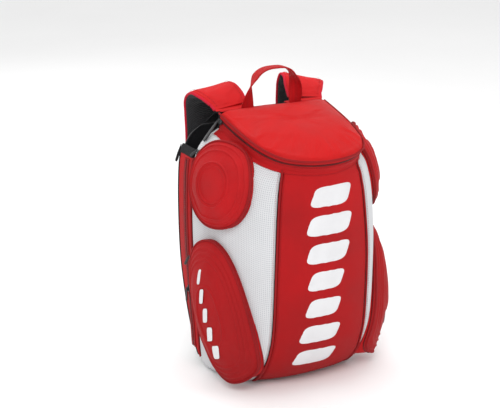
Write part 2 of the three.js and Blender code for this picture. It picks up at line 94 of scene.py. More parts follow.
def ring_quads(idx):
    """Quads between the closed rows of a grid of point numbers."""
    return np.stack([idx[:-1], np.roll(idx[:-1], -1, 1), np.roll(idx[1:], -1, 1), idx[1:]], -1).reshape(-1, 4)


def open_quads(idx):
    """Quads between the rows and columns of a grid of point numbers."""
    return np.stack([idx[:-1, :-1], idx[:-1, 1:], idx[1:, 1:], idx[1:, :-1]], -1).reshape(-1, 4)


def facing(points, faces, direction, first=0):
    """The faces, all turned round if the one numbered first does not look along direction."""
    a, b, c = (np.asarray(points[i]) for i in faces[first][:3])
    return [f[::-1] for f in faces] if np.cross(b - a, c - a) @ direction < 0 else faces


# ---------------------------------------------------------------- shell surface
def spline(a, b, c, d, t):
    bend, twist = 2 * a - 5 * b + 4 * c - d, 3 * b - a - 3 * c + d
    return 0.5 * (2 * b + (c - a) * t + bend * t * t + twist * t ** 3)


def outline(v):
    """Outline numbers at height index v: smooth below the band, straight across it."""
    i = min(int(v), V_LID - 1)
    t = v - i
    if i >= V_BAND:
        return KEYS[V_BAND] + (KEYS[V_LID] - KEYS[V_BAND]) * t
    return spline(*(KEYS[max(0, min(n, V_BAND))] for n in (i - 1, i, i + 1, i + 2)), t)


def bezier(a, b, c, d, t):
    return a * (1 - t) ** 3 + 3 * b * t * (1 - t) ** 2 + 3 * c * t * t * (1 - t) + d * t ** 3


def shell(side, v, t):
    """Point of the shell: t is 0 at the rear edge, 1 at the front corner, 2 on the centre line."""
    z, slope, b, ax, ay, cx, cy, fx, fy, gx, gy, hx, front = outline(v)
    if t <= 1:
        x, y = bezier(b, ax, cx, fx, t), bezier(Y_SIDE, ay, cy, fy, t)
    else:
        x, y = bezier(fx, gx, hx, 0, t - 1), bezier(fy, gy, front, front, t - 1)
    return vec(side * x, y, z - math.tan(math.radians(slope)) * (Y_SIDE - y))


def shell_normal(side, v, t, e=0.03):
    def across(tt):
        return shell(-side, v, 4 - tt) if tt > 2 else shell(side, v, tt)
    d = across(min(t + e, 1) if t < 1 else t + e) - across(max(0, t - e) if t <= 1 else max(1, t - e))
    v0, v1 = (max(0, v - e), min(V_BAND, v + e)) if v <= V_BAND else (max(V_BAND, v - e), min(V_LID, v + e))
    up = shell(side, v1, min(t, 2)) - shell(side, v0, min(t, 2))
    return unit(np.cross(d, up)) * -side


def even_rows(v0, v1, pitch):
    """Height indices from v0 to v1 about pitch mm apart up the side."""
    fine = steps(v0, v1, 400)
    z = np.array([outline(v)[0] for v in fine])
    n = max(2, round((z[-1] - z[0]) / pitch))
    return [float(np.interp(z[0] + (z[-1] - z[0]) * i / n, z, fine)) for i in range(n + 1)]


REAR = [(outline(v)[0], outline(v)[2]) for v in steps(0, V_BAND, 200)]


def rear_width(z):
    return float(np.interp(z, [p[0] for p in REAR], [p[1] for p in REAR]))


def rear_normal(z):
    return unit(vec(1, 0, -(rear_width(z + 3) - rear_width(z - 3)) / 6))


def rear_y(z):
    if z >= 207:
        return Y_BACK
    q = min(1, (207 - z) / 195) ** 1.6
    return 66 + (Y_BACK - 66) * (1 - q) ** (1 / 1.4)


def lid_plane(y):
    return LID_HINGE_Z - TAN_LID * (Y_SIDE - y)


# ---------------------------------------------------------------- materials
def linear(colour):
    return [c / 12.92 if c <= 0.04045 else ((c + 0.055) / 1.055) ** 2.4 for c in (x / 255 for x in colour)]


class Nodes:
    """Small helper to build a node material."""

    def __init__(self, name):
        self.mat = bpy.data.materials.new(name)
        self.mat.use_nodes = True
        self.tree = self.mat.node_tree
        self.bsdf = self.tree.nodes["Principled BSDF"]

    def add(self, kind, inputs=(), **settings):
        n = self.tree.nodes.new(kind)
        for k, x in settings.items():
            setattr(n, k, x)
        for k, x in dict(inputs).items():
            if isinstance(x, bpy.types.NodeSocket):
                self.tree.links.new(x, n.inputs[k])
            else:
                n.inputs[k].default_value = x
        return n

    def coords(self, kind="UV"):
        return self.add("ShaderNodeTexCoord").outputs[kind]

    def math(self, operation, a, b=0.0):
        return self.add("ShaderNodeMath", {0: a, 1: b}, operation=operation).outputs[0]

    def noise(self, where, scale, detail=3.0, rough=0.5):
        return self.add("ShaderNodeTexNoise", {"Vector": where, "Scale": scale, "Detail": detail,
                                               "Roughness": rough}).outputs[0]

    def ramp(self, x, low, high, a, b):
        return self.add("ShaderNodeMapRange", {0: x, 1: low, 2: high, 3: a, 4: b}).outputs[0]

    def mix(self, factor, a, b):
        n = self.add("ShaderNodeMix", data_type="RGBA")
        for i, x in ((0, factor), (6, a), (7, b)):
            if isinstance(x, bpy.types.NodeSocket):
                self.tree.links.new(x, n.inputs[i])
            else:
                n.inputs[i].default_value = x if i == 0 else (*x, 1)
        return n.outputs[2]

    def stripes(self, where, pitch, direction):
        """Smooth bands pitch metres apart along X or Y of the coordinates."""
        return self.add("ShaderNodeTexWave", {"Vector": where, "Scale": 0.31416 / pitch}, wave_type="BANDS",
                        bands_direction=direction).outputs[1]

    def finish(self, colour, rough, height, strength, distance=0.0004):
        bump = self.add("ShaderNodeBump", {"Strength": strength, "Distance": distance, "Height": height})
        links = self.tree.links
        links.new(colour, self.bsdf.inputs["Base Color"])
        links.new(rough, self.bsdf.inputs["Roughness"])
        links.new(bump.outputs[0], self.bsdf.inputs["Normal"])
        return self.mat


def woven(name, colour, pitch=0.0011, rough=(0.62, 0.8), bump=0.5, sheen=0.25, tint=0.10, worn=0.12,
          space="UV", painted_shade=0.0):
    """Plain weave with mottled dye, fine fibre grain and edges rubbed a little lighter.
    Its last argument paints shade into the cloth colour: darker towards the floor, following the light's
    falloff there."""
    m = Nodes(name)
    where, solid = m.coords(space), m.coords("Object")
    warp, weft = m.stripes(where, pitch, "X"), m.stripes(where, pitch, "Y")
    weave = m.math("MAXIMUM", warp, weft)
    cloud = m.noise(solid, 9.0, 4.0, 0.6)
    grain = m.noise(solid, 900.0, 2.0)
    base = linear(colour)
    deep = [c * (1 - 2.4 * tint) for c in base]
    pale = [min(1, c * (1 + tint) + 0.012 * tint) for c in base]
    cloth = m.mix(m.ramp(cloud, 0.3, 0.7, 0, 1), deep, pale)
    thread = m.mix(m.ramp(weave, 0.2, 1.0, 0.32, 0.0), cloth, [c * 0.55 for c in base])
    edge = m.ramp(m.add("ShaderNodeNewGeometry").outputs["Pointiness"], 0.52, 0.60, 0, worn)
    colour_out = m.mix(edge, thread, [min(1, c * 1.25 + 0.05) for c in base])
    # painted shade: the colour is mixed towards half its base, by the given share at the floor and not at all
    # above 0.42 m
    if painted_shade:
        low = m.ramp(m.add("ShaderNodeSeparateXYZ", {"Vector": solid}).outputs["Z"], 0.04, 0.42, painted_shade, 0)
        colour_out = m.mix(low, colour_out, [c * 0.5 for c in base])
    height = m.math("ADD", weave, m.math("MULTIPLY", grain, 0.6))
    m.bsdf.inputs["Sheen Weight"].default_value = sheen * 0.35
    m.bsdf.inputs["Sheen Roughness"].default_value = 0.4
    m.bsdf.inputs["Sheen Tint"].default_value = (*[min(1, c * 1.6) for c in base], 1)
    m.bsdf.inputs["Specular IOR Level"].default_value = 0.18
    return m.finish(colour_out, m.ramp(cloud, 0.3, 0.7, *rough), height, bump)


def perforated(name, colour, hole, pitch=0.0042, size=0.26, bump=0.7, rough=0.7, turn=45):
    """Knitted mesh with rows of small holes set on the diagonal."""
    m = Nodes(name)
    turned = m.add("ShaderNodeMapping", {"Vector": m.coords("UV"),
                                         "Rotation": (0, 0, math.radians(turn))}).outputs[0]
    cells = m.add("ShaderNodeTexVoronoi", {"Vector": turned, "Scale": 1 / pitch, "Randomness": 0.0},
                  voronoi_dimensions="2D").outputs["Distance"]
    solid = m.coords("Object")
    cloud = m.noise(solid, 7.0, 4.0, 0.6)
    knit = m.stripes(m.coords("UV"), 0.0009, "Y")
    open_ = m.ramp(cells, size, size + 0.14, 1, 0)
    base = linear(colour)
    cloth = m.mix(m.ramp(cloud, 0.3, 0.7, 0, 1), [c * 0.93 for c in base], [min(1, c * 1.03) for c in base])
    knitted = m.mix(m.ramp(knit, 0, 1, 0.10, 0), cloth, [c * 0.6 for c in base])
    colour_out = m.mix(m.math("MULTIPLY", open_, 0.62), knitted, linear(hole))
    height = m.math("SUBTRACT", m.math("MULTIPLY", knit, 0.25), open_)
    m.bsdf.inputs["Sheen Weight"].default_value = 0.15
    return m.finish(colour_out, m.ramp(cloud, 0.3, 0.7, rough - 0.08, rough + 0.1), height, bump, 0.0006)


def plastic(name, colour, rough=(0.34, 0.5)):
    m = Nodes(name)
    solid = m.coords("Object")
    cloud, grain = m.noise(solid, 60.0, 3.0), m.noise(solid, 1500.0, 2.0)
    base = linear(colour)
    edge = m.ramp(m.add("ShaderNodeNewGeometry").outputs["Pointiness"], 0.5, 0.62, 0, 0.35)
    body = m.mix(m.ramp(cloud, 0.3, 0.7, 0, 1), [c * 0.8 for c in base], [c * 1.25 for c in base])
    colour_out = m.mix(edge, body, [min(1, c * 1.6 + 0.03) for c in base])
    return m.finish(colour_out, m.ramp(cloud, 0.3, 0.7, *rough), grain, 0.25, 0.0001)


def printed(name, colour):
    """Soft screen print that lets the weave through."""
    m = Nodes(name)
    solid = m.coords("Object")
    weave = m.math("MAXIMUM", m.stripes(m.coords("UV"), 0.0011, "X"), m.stripes(m.coords("UV"), 0.0011, "Y"))
    cloud = m.noise(solid, 40.0, 4.0)
    base = linear(colour)
    colour_out = m.mix(m.ramp(cloud, 0.3, 0.7, 0, 1), [c * 0.94 for c in base], base)
    return m.finish(colour_out, m.ramp(cloud, 0.3, 0.7, 0.5, 0.62), weave, 0.3, 0.0003)


MAT = {
    # the red front cloth and the pocket cloth carry painted shade, darker towards the floor
    "red": woven("red_cloth", (181, 16, 21), painted_shade=0.6),
    "lid": woven("lid_cloth", (198, 13, 15), rough=(0.5, 0.66), sheen=0.2, tint=0.08),
    # painted shade on the pocket cloth, darker towards the floor
    "pocket": woven("pocket_cloth", (180, 14, 20), rough=(0.52, 0.7), tint=0.10, painted_shade=0.62),
    "gusset": woven("gusset_cloth", (184, 17, 22)),
    "band": woven("band_cloth", (178, 14, 20), pitch=0.0013),
    "piping": woven("piping_cord", (150, 14, 20), pitch=0.0014, bump=0.8, worn=0.2),
    "strap": woven("strap_cloth", (206, 30, 33), tint=0.09),
    "binding": woven("strap_binding", (200, 24, 50), pitch=0.0009),
    "webbing_red": woven("webbing_red", (190, 18, 24), pitch=0.0019, bump=0.9),
    "webbing": woven("webbing_black", (24, 24, 26), pitch=0.0019, bump=0.9, tint=0.15),
    "lining": woven("lining", (26, 26, 29), tint=0.15, sheen=0.4),
    "tape": woven("zip_tape_cloth", (146, 16, 21), pitch=0.0009),
    "tape_black": woven("zip_tape_black", (22, 22, 24), pitch=0.0009),
    "thread": woven("thread_red", (150, 22, 30), pitch=0.0004, space="Object"),
    "thread_black": woven("thread_black", (46, 46, 50), pitch=0.0004, space="Object"),
    "mesh": perforated("white_mesh", (209, 210, 212), (148, 150, 156), pitch=0.0036, size=0.22, bump=0.45,
                       turn=0),
    "air": perforated("air_mesh", (34, 34, 38), (6, 6, 7), pitch=0.0034, size=0.3, bump=1.0),
    "coil": plastic("zip_coil", (74, 14, 18), (0.3, 0.45)),
    "plastic": plastic("black_plastic", (26, 26, 29)),
    "print": printed("white_print", (218, 218, 220)),
}


# ---------------------------------------------------------------- mesh building
def make_mesh(name, points, faces, mats, uvs=None, face_mats=None):
    """New object from millimetre points; uvs holds one (u, v) per point, in metres."""
    co = (np.asarray(points, float) + vec(0, Y_SHIFT, 0)) * 0.001
    co[:, 2] = np.maximum(co[:, 2], 0.0001)
    me = bpy.data.meshes.new(name)
    me.from_pydata(co.tolist(), [], [tuple(int(i) for i in f) for f in faces])
    for mat in mats if isinstance(mats, list) else [mats]:
        me.materials.append(MAT[mat])
    if face_mats is not None:
        me.polygons.foreach_set("material_index", np.asarray(face_mats, np.int32))
    layer = me.uv_layers.new(name="UVMap")
    loops = np.zeros(len(me.loops), np.int32)
    me.loops.foreach_get("vertex_index", loops)
    flat = co[:, [0, 2]] if uvs is None else np.asarray(uvs, float)
    layer.data.foreach_set("uv", flat[loops].astype(np.float32).ravel())
    me.polygons.foreach_set("use_smooth", [True] * len(me.polygons))
    me.update()
    obj = bpy.data.objects.new(name, me)
    scene.collection.objects.link(obj)
    return obj


def dress(obj, body, slot, *nodes):
    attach(obj, body)
    if nodes:
        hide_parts(*nodes)
    return obj


def grid_normals(P, closed=False):
    """Unit normals of a rows x cols grid."""
    if closed:
        Q = np.concatenate([P[:, -1:], P, P[:, :1]], axis=1)
        du = np.gradient(Q, axis=1)[:, 1:-1]
    else:
        du = np.gradient(P, axis=1)
    n = np.cross(du, np.gradient(P, axis=0))
    return n / np.maximum(np.linalg.norm(n, axis=2, keepdims=True), 1e-9)


def arc_lengths(P, axis):
    d = np.linalg.norm(np.diff(P, axis=axis), axis=2)
    out = np.zeros(P.shape[:2])
    if axis:
        out[:, 1:] = np.cumsum(d, axis=1)
    else:
        out[1:] = np.cumsum(d, axis=0)
    return out


def edge_distance(P, sides="lrtb"):
    """Distance of each grid point to the nearest of the named edges, in mm."""
    u, w = arc_lengths(P, 1), arc_lengths(P, 0)
    parts = {"l": u, "r": u[:, -1:] - u, "b": w, "t": w[-1:] - w}
    return np.minimum.reduce([parts[s] for s in sides])


def rolled(d, radius, depth):
    """Drop of a sewn edge turned under: depth at the edge, none beyond radius."""
    k = np.clip(1 - d / radius, 0, 1)
    return depth * (1 - np.sqrt(np.maximum(0, 1 - k * k)))


def ripple(P, scale, stretch=(1, 1, 1), seed=0.0):
    """Smooth noise from about -1 to 1 on the points of a grid."""
    flat = P.reshape(-1, 3) * np.array(stretch) / scale + seed
    return np.array([noise.noise(Vector(p)) for p in flat]).reshape(P.shape[:2]) * 2


def slab(name, P, mats, thick=WALL, lift=0.0, closed=False, outward=None):
    """Closed sheet of cloth: the grid P lifted along its normals, with a lining thick mm under it."""
    N = grid_normals(P, closed)
    if outward is not None and np.sum(N[len(N) // 2, N.shape[1] // 2] * outward) < 0:
        N = -N
    lift = np.broadcast_to(lift, P.shape[:2])[..., None]
    outer, inner = P + N * lift, P + N * (lift - thick)
    rows, cols = P.shape[:2]
    n = rows * cols
    idx = np.arange(n).reshape(rows, cols)
    nxt = np.roll(idx, -1, axis=1) if closed else idx[:, 1:]
    cur = idx if closed else idx[:, :-1]
    quads = np.stack([cur[:-1], nxt[:-1], nxt[1:], cur[1:]], axis=-1).reshape(-1, 4)
    faces = [quads, (quads + n)[:, ::-1]]
    rim = [np.stack([nxt[0], cur[0], cur[0] + n, nxt[0] + n], -1),
           np.stack([cur[-1], nxt[-1], nxt[-1] + n, cur[-1] + n], -1)]
    if not closed:
        rim += [np.stack([idx[:-1, 0], idx[1:, 0], idx[1:, 0] + n, idx[:-1, 0] + n], -1),
                np.stack([idx[1:, -1], idx[:-1, -1], idx[:-1, -1] + n, idx[1:, -1] + n], -1)]
    faces += rim
    kinds = np.concatenate([np.full(len(f), 1 if i == 1 else 0) for i, f in enumerate(faces)])
    faces = np.concatenate(faces)
    # the first quad says which way the whole skin faces
    a, b, c = outer.reshape(-1, 3)[quads[len(quads) // 2][:3]]
    flat_n = N.reshape(-1, 3)[quads[len(quads) // 2][0]]
    if np.cross(b - a, c - a) @ flat_n < 0:
        faces = faces[:, ::-1]
    uv = np.stack([arc_lengths(P, 1), arc_lengths(P, 0)], -1).reshape(-1, 2) * 0.001
    mats = mats if isinstance(mats, list) else [mats, "lining"]
    return make_mesh(name, np.concatenate([outer.reshape(-1, 3), inner.reshape(-1, 3)]), faces, mats,
                     np.concatenate([uv, uv]), kinds), n


def tube_rings(path, radius, sides=10, closed=False):
    """Rings round a path, with a frame carried along it."""
    path = np.asarray(path, float)
    n = len(path)
    tangent = np.roll(path, -1, 0) - np.roll(path, 1, 0) if closed else np.gradient(path, axis=0)
    tangent = tangent / np.linalg.norm(tangent, axis=1, keepdims=True)
    first = np.cross(tangent[0], vec(0.3, 0.2, 0.93))
    side, rings = unit(first), []
    for i in range(n):
        side = unit(side - tangent[i] * (side @ tangent[i]))
        other = np.cross(tangent[i], side)
        r = radius if np.isscalar(radius) else radius[i]
        q = np.arange(sides) * 2 * math.pi / sides
        rings.append(path[i] + r * (np.cos(q)[:, None] * side + np.sin(q)[:, None] * other))
    return np.array(rings)


def skin(name, rings, mats, closed_path=False, face_mat=None):
    """Closed surface through rings, capped with fans unless the path is a loop."""
    rows, cols = rings.shape[:2]
    idx = np.arange(rows * cols).reshape(rows, cols)
    up = np.roll(idx, -1, 0) if closed_path else idx[1:]
    low = idx if closed_path else idx[:-1]
    quads = np.stack([low, np.roll(low, -1, 1), np.roll(up, -1, 1), up], -1).reshape(-1, 4)
    points = rings.reshape(-1, 3)
    faces = [tuple(q) for q in quads]
    kinds = [0] * len(faces)
    if face_mat is not None:
        kinds = [int(k) for k in np.broadcast_to(face_mat, low.shape).reshape(-1)]
    uv = np.stack([np.broadcast_to(np.arange(cols) / cols, (rows, cols)) * np.linalg.norm(
        np.diff(rings[rows // 2], axis=0), axis=1).sum(), arc_lengths(rings, 0)], -1).reshape(-1, 2) * 0.001
    if not closed_path:
        for ring, flip in ((idx[0], True), (idx[-1], False)):
            centre = len(points)
            points = np.vstack([points, rings[0 if flip else -1].mean(0)])
            uv = np.vstack([uv, uv[ring].mean(0)])
            for j in range(cols):
                a, b = ring[j], ring[(j + 1) % cols]
                faces.append((b, a, centre) if flip else (a, b, centre))
                kinds.append(kinds[0])
    a, b, c = (points[i] for i in faces[0][:3])
    if np.cross(b - a, c - a) @ (a - rings[0].mean(0)) < 0:
        faces = [f[::-1] for f in faces]
    return make_mesh(name, points, faces, mats, uv, kinds)


def tube(name, path, radius, mat, sides=10, closed=False):
    return skin(name, tube_rings(path, radius, sides, closed), mat, closed)


def strip(path, across, width, thick, power=5, sides=20):
    """Rings of a flat band: across is one direction, or one for each point."""
    path = np.asarray(path, float)
    along = np.gradient(path, axis=0)
    along /= np.linalg.norm(along, axis=1, keepdims=True)
    across = np.broadcast_to(across, path.shape)
    a = across - along * np.sum(across * along, axis=1, keepdims=True)
    a /= np.linalg.norm(a, axis=1, keepdims=True)
    out = np.cross(along, a)
    q = (np.arange(sides) + 0.5) * 2 * math.pi / sides
    cu = np.sign(np.cos(q)) * np.abs(np.cos(q)) ** (2 / power)
    su = np.sign(np.sin(q)) * np.abs(np.sin(q)) ** (2 / power)
    w, t = np.broadcast_to(width, len(path)), np.broadcast_to(thick, len(path))
    return (path[:, None] + a[:, None] * (w[:, None] / 2 * cu)[..., None]
            + out[:, None] * (t[:, None] / 2 * su)[..., None])


def joined(name, parts, mat):
    """One mesh from several (points, faces) lumps."""
    points, faces, at = [], [], 0
    for p, f in parts:
        points.append(np.asarray(p))
        faces += [tuple(int(i) + at for i in face) for face in f]
        at += len(p)
    return make_mesh(name, np.vstack(points), faces, mat)


def lump(centre, a, b, c, size, power=4.0, rows=5, cols=10):
    """Rounded box: three unit directions and full sizes along them."""
    points, faces = [], []
    for i in range(rows + 1):
        lat = -math.pi / 2 + math.pi * i / rows
        for j in range(cols):
            lon = 2 * math.pi * (j + 0.5) / cols
            d = vec(math.cos(lat) * math.cos(lon), math.cos(lat) * math.sin(lon), math.sin(lat))
            k = (np.abs(d) ** power).sum() ** (-1 / power)
            points.append(centre + a * d[0] * k * size[0] / 2 + b * d[1] * k * size[1] / 2
                          + c * d[2] * k * size[2] / 2)
    for i in range(rows):
        for j in range(cols):
            k = (j + 1) % cols
            quad = [i * cols + j, i * cols + k, (i + 1) * cols + k, (i + 1) * cols + j]
            faces.append(quad)
    # the poles are closed by single faces
    faces = [f for f in faces if not (f[0] < cols or f[2] >= rows * cols)] + [
        [cols + j for j in reversed(range(cols))], [(rows - 1) * cols + j for j in range(cols)]]
    used = {v: n for n, v in enumerate(sorted({v for f in faces for v in f}))}
    return [points[v] for v in used], [[used[v] for v in f] for f in faces]


def along_path(path, normals, places):
    """Points, tangents and unit normals at arc lengths along a path."""
    path, normals = np.asarray(path, float), np.asarray(normals, float)
    s = np.concatenate([[0], np.cumsum(np.linalg.norm(np.diff(path, axis=0), axis=1))])
    def where(x, source):
        return np.stack([np.interp(x, s, source[:, k]) for k in range(3)], -1)
    places = places(s[-1])
    along = where(places + 0.5, path) - where(places - 0.5, path)
    n = where(places, normals)
    n /= np.linalg.norm(n, axis=1, keepdims=True)
    return where(places, path), along / np.linalg.norm(along, axis=1, keepdims=True), n


def repeated(name, centres, a, b, c, size, power, mat):
    """One mesh of many equal lumps: a, b and c hold three directions for each."""
    points, faces = lump(vec(0, 0, 0), vec(1, 0, 0), vec(0, 1, 0), vec(0, 0, 1), size, power, 4, 6)
    points = np.array(points)
    copies = (centres[:, None] + points[None, :, 0:1] * a[:, None] + points[None, :, 1:2] * b[:, None]
              + points[None, :, 2:3] * c[:, None]).reshape(-1, 3)
    m = len(points)
    all_faces = [tuple(i + k * m for i in f) for k in range(len(centres)) for f in faces]
    return make_mesh(name, copies, all_faces, mat)


def stitches(name, path, normals, mat="thread", pitch=4.2, length=3.0, radius=0.38, lift=0.25):
    """Row of thread stitches along a path on a surface."""
    p, along, n = along_path(path, normals, lambda whole: np.arange(pitch / 2, whole - pitch / 2, pitch))
    size = (length, radius * 2, radius * 2)
    return repeated(name, p + n * lift, along, np.cross(n, along), n, size, 2.6, mat)


def zip_teeth(name, path, normals, mat="coil", pitch=2.0, width=4.2, lift=0.5):
    """Coil of a zip: a row of interlocked turns along a path."""
    p, along, n = along_path(path, normals, lambda whole: np.arange(pitch, whole - pitch, pitch))
    across = np.cross(n, along)
    shift = np.where(np.arange(len(p)) % 2, 0.55, -0.55)[:, None]
    size = (width - 1.1, pitch * 0.62, 1.5)
    return repeated(name, p + across * shift + n * lift, across, along, n, size, 3, mat)


# ---------------------------------------------------------------- cloth
def simulate(obj, pinned, pressure, slack=0.02, cap=4.0, frames=14, stiff=12.0, smooth=0):
    """Lets a sewn piece fill out: its seams are held, its cloth is a little too large and air presses it from
    inside. No point moves more than cap mm, and the modifier is gone at the end."""
    group = obj.vertex_groups.new(name="held")
    for weight in sorted(set(pinned.values())):
        group.add([i for i, w in pinned.items() if w == weight], weight, "REPLACE")
    cloth = obj.modifiers.new("Cloth", "CLOTH")
    s = cloth.settings
    s.quality, s.mass, s.air_damping = 3, 0.2, 2.0
    s.tension_stiffness = s.compression_stiffness = stiff
    s.shear_stiffness, s.bending_stiffness = stiff / 3, 0.4
    s.use_pressure, s.uniform_pressure_force = True, pressure
    s.vertex_group_mass = "held"
    s.shrink_min = -slack
    s.effector_weights.gravity = 0
    cloth.collision_settings.use_collision = False
    cloth.point_cache.frame_start, cloth.point_cache.frame_end = 1, frames
    for f in range(1, frames + 1):
        scene.frame_set(f)
    held = np.array([v.co for v in obj.data.vertices], float)
    made = obj.evaluated_get(bpy.context.evaluated_depsgraph_get())
    now = np.array([v.co for v in made.data.vertices], float)
    obj.modifiers.remove(cloth)
    scene.frame_set(1)
    move = np.nan_to_num(now - held)
    normals = np.array([v.normal for v in obj.data.vertices], float)
    inward = np.minimum(0, (move * normals).sum(1, keepdims=True))
    move -= normals * inward * 0.88
    ends = np.array([e.vertices for e in obj.data.edges])
    count = np.bincount(ends.ravel(), minlength=len(held))[:, None]
    free = np.ones((len(held), 1))
    free[[i for i, w in pinned.items() if w == 1]] = 0
    for _ in range(smooth):
        near = np.zeros_like(move)
        np.add.at(near, ends[:, 0], move[ends[:, 1]])
        np.add.at(near, ends[:, 1], move[ends[:, 0]])
        move = (move + near / count) / 2 * free
    size = np.linalg.norm(move, axis=1, keepdims=True)
    move *= np.minimum(1, cap * 0.001 / np.maximum(size, 1e-9))
    obj.data.vertices.foreach_set("co", (held + move).astype(np.float32).ravel())
    obj.data.update()
    return obj


def subdivided(obj, levels=1):
    m = obj.modifiers.new("Subdivision", "SUBSURF")
    m.levels = m.render_levels = levels
    m.use_limit_surface = False
    return obj


SIDES = [(-1, "left"), (1, "right")]

# ---------------------------------------------------------------- body panels
rows = even_rows(0, V_BAND, 4.6)
for side, word in SIDES:
    P = np.array([[shell(side, v, t) for t in steps(0.0, 0.979, 46)] for v in rows])
    d = edge_distance(P)
    lift = 1.6 * np.clip(d / 45, 0, 1) ** 0.6 - rolled(d, 5, 1.8)
    lift += ripple(P, 60, (1, 1, 0.45), 3.1) * 0.55 * np.clip(d / 25, 0, 1)
    lift += ripple(P, 24, (1, 1, 0.35), 9.4 + side) * 0.22 * np.clip(d / 20, 0, 1)
    panel, n = slab(f"side_mesh_{word}", P, ["mesh", "lining"], WALL, lift, outward=vec(side, -0.3, 0))
    dress(panel, "bag", "white_mesh", f"side_panel_{word}")

    # piping between side and front panels
    vs = steps(0.06, V_BAND - 0.06, 150)
    normals = [unit(shell_normal(side, v, 0.999) + shell_normal(side, v, 1.001)) for v in vs]
    path = [shell(side, v, 1) + nn * 0.3 for v, nn in zip(vs, normals)]
    dress(tube(f"corner_piping_{word}", path, 1.9, "piping", 10), "bag", "piping", f"front_piping_{word}")
    for kind, t in (("front", 1.065), ("side", 0.955)):
        line = [shell(side, v, t) + shell_normal(side, v, t) * 0.7 for v in vs]
        row = stitches(f"corner_stitch_{kind}_{word}", line, [shell_normal(side, v, t) for v in vs],
                       "thread", 4.5, 3.2, 0.3, 0.1)
        dress(row, "bag", "piping")

front_ts = steps(1.02, 2, 24)
P = np.array([[shell(-1, v, t) for t in front_ts] + [shell(1, v, t) for t in front_ts[::-1][1:]]
              for v in rows])
d = edge_distance(P)
FRONT_LIFT = 1.2
lift = FRONT_LIFT * np.clip(d / 40, 0, 1) ** 0.6 - rolled(d, 5, 1.8)
lift += ripple(P, 80, (1, 1, 0.4), 1.7) * 0.35 * np.clip(d / 25, 0, 1)
panel, n = slab("front_cloth", P, ["red", "lining"], WALL, lift, outward=vec(0, -1, 0))
dress(panel, "bag", "red_fabric", "front_panel")


# printed bars down the front, each a slanted rounded patch
front_quads = np.arange(P.shape[0] * P.shape[1]).reshape(P.shape[:2])
front_tree = BVHTree.FromPolygons([tuple(p) for p in P.reshape(-1, 3)],
                                  [tuple(int(i) for i in q) for q in open_quads(front_quads)])


def front_point(x, z):
    """Point on the front panel at width x and height z, with its outward normal."""
    p, n, _, _ = front_tree.ray_cast(Vector((x, -400, z)), Vector((0, 1, 0)))
    n = vec(*n)
    return vec(*p), n if n[1] < 0 else -n


def patch(name, place, centre, size, slant, mat="print", power=5.0, lift=0.9, rings=6, around=36):
    """Rounded slanted patch laid on a surface: place(x, z) gives a point and its normal."""
    points, faces, uv = [], [], []
    for i in range(rings + 1):
        k = max(i / rings, 0.02)
        for j in range(around):
            q = 2 * math.pi * j / around
            cx, sz = rounded(q, power)
            z = k * sz * size[1] / 2
            x = k * cx * size[0] / 2 + z * slant
            p, nn = place(centre[0] + x, centre[1] + z)
            points.append(p + nn * (lift if i < rings else lift - 0.7))
            uv.append((x * 0.001, z * 0.001))
    for i in range(rings):
        for j in range(around):
            k = (j + 1) % around
            faces.append((i * around + j, i * around + k, (i + 1) * around + k, (i + 1) * around + j))
    faces.append(tuple(reversed(range(around))))
    return make_mesh(name, points, facing(points, faces, nn), mat, uv)


# ---------------------------------------------------------------- lid and its zip
def rim_path(v, inset=0.0, count=220):
    """Closed line of the lid's edge at height index v, even steps, starting at the rear left corner."""
    half = {s: [shell(s, v, t) for t in [*steps(0.03, 1, 40), *steps(1.04, 1.96, 24)]] for s in (-1, 1)}
    ring = [*half[-1], shell(1, v, 2), *half[1][::-1]]
    rear = [vec(x * 104, Y_SEAM, lid_plane(Y_SEAM)) for x in steps(1, -1, 30)[1:-1]]
    pts = []
    for p in [*ring, *rear]:
        d = vec(p[0], p[1] + 42, 0)
        q = d * (1 - inset / np.linalg.norm(d)) + vec(0, -42, 0)
        pts.append(vec(q[0], min(q[1], Y_SEAM - 0.4), p[2]))
    pts = np.array(pts + [pts[0]])
    s = np.concatenate([[0], np.cumsum(np.linalg.norm(np.diff(pts, axis=0), axis=1))])
    places = np.linspace(0, s[-1], count + 1)[:-1]
    return np.array([[np.interp(x, s, pts[:, k]) for k in range(3)] for x in places])


radii = [1, 0.992, 0.98, 0.965, 0.945, 0.92, 0.89, 0.86, 0.82, 0.78, 0.74, 0.69, 0.64, 0.58, 0.52, 0.45, 0.38,
         0.3, 0.22, 0.14, 0.06]
rim = rim_path(V_LID, 1.2)


def dome_grid(drop):
    out = []
    for r in radii:
        ring = np.stack([rim[:, 0] * r, -42 + (rim[:, 1] + 42) * r, np.zeros(len(rim))], -1)
        ring[:, 2] = lid_plane(ring[:, 1]) + drop + DOME * (1 - r ** 3.2)
        out.append(ring)
    return np.array(out)


P = dome_grid(0.6)
angle = np.arctan2(P[..., 0], -(P[..., 1] + 42))
r_of = np.array(radii)[:, None] * np.ones(len(rim))
frontness = np.clip(1 - np.abs(angle) / 1.5, 0, 1)
lift = -rolled((1 - r_of) * 110, 6, 2.4)
pleat = np.sin(angle * 26 + np.sin(angle * 9) * 1.6) * np.exp(-((r_of - 0.84) / 0.13) ** 2)
lift = lift + pleat * 1.2 * frontness + ripple(P, 55, (1, 1, 1), 5.0) * 0.8 * (r_of < 0.93)
outer = P + np.array([0, 0, 1.0]) * lift[..., None]
inner = P - np.array([0, 0, 1.0]) * 5.5
inner[0] = rim_path(V_LID, 4.5) + vec(0, 0, -0.6)
rows_, cols_ = P.shape[:2]
idx = np.arange(rows_ * cols_).reshape(rows_, cols_)
m = rows_ * cols_
quads = ring_quads(idx)
faces = [tuple(q) for q in quads] + [tuple(q[::-1] + m) for q in quads]
faces += [(idx[0, (j + 1) % cols_], idx[0, j], idx[0, j] + m, idx[0, (j + 1) % cols_] + m)
          for j in range(cols_)]
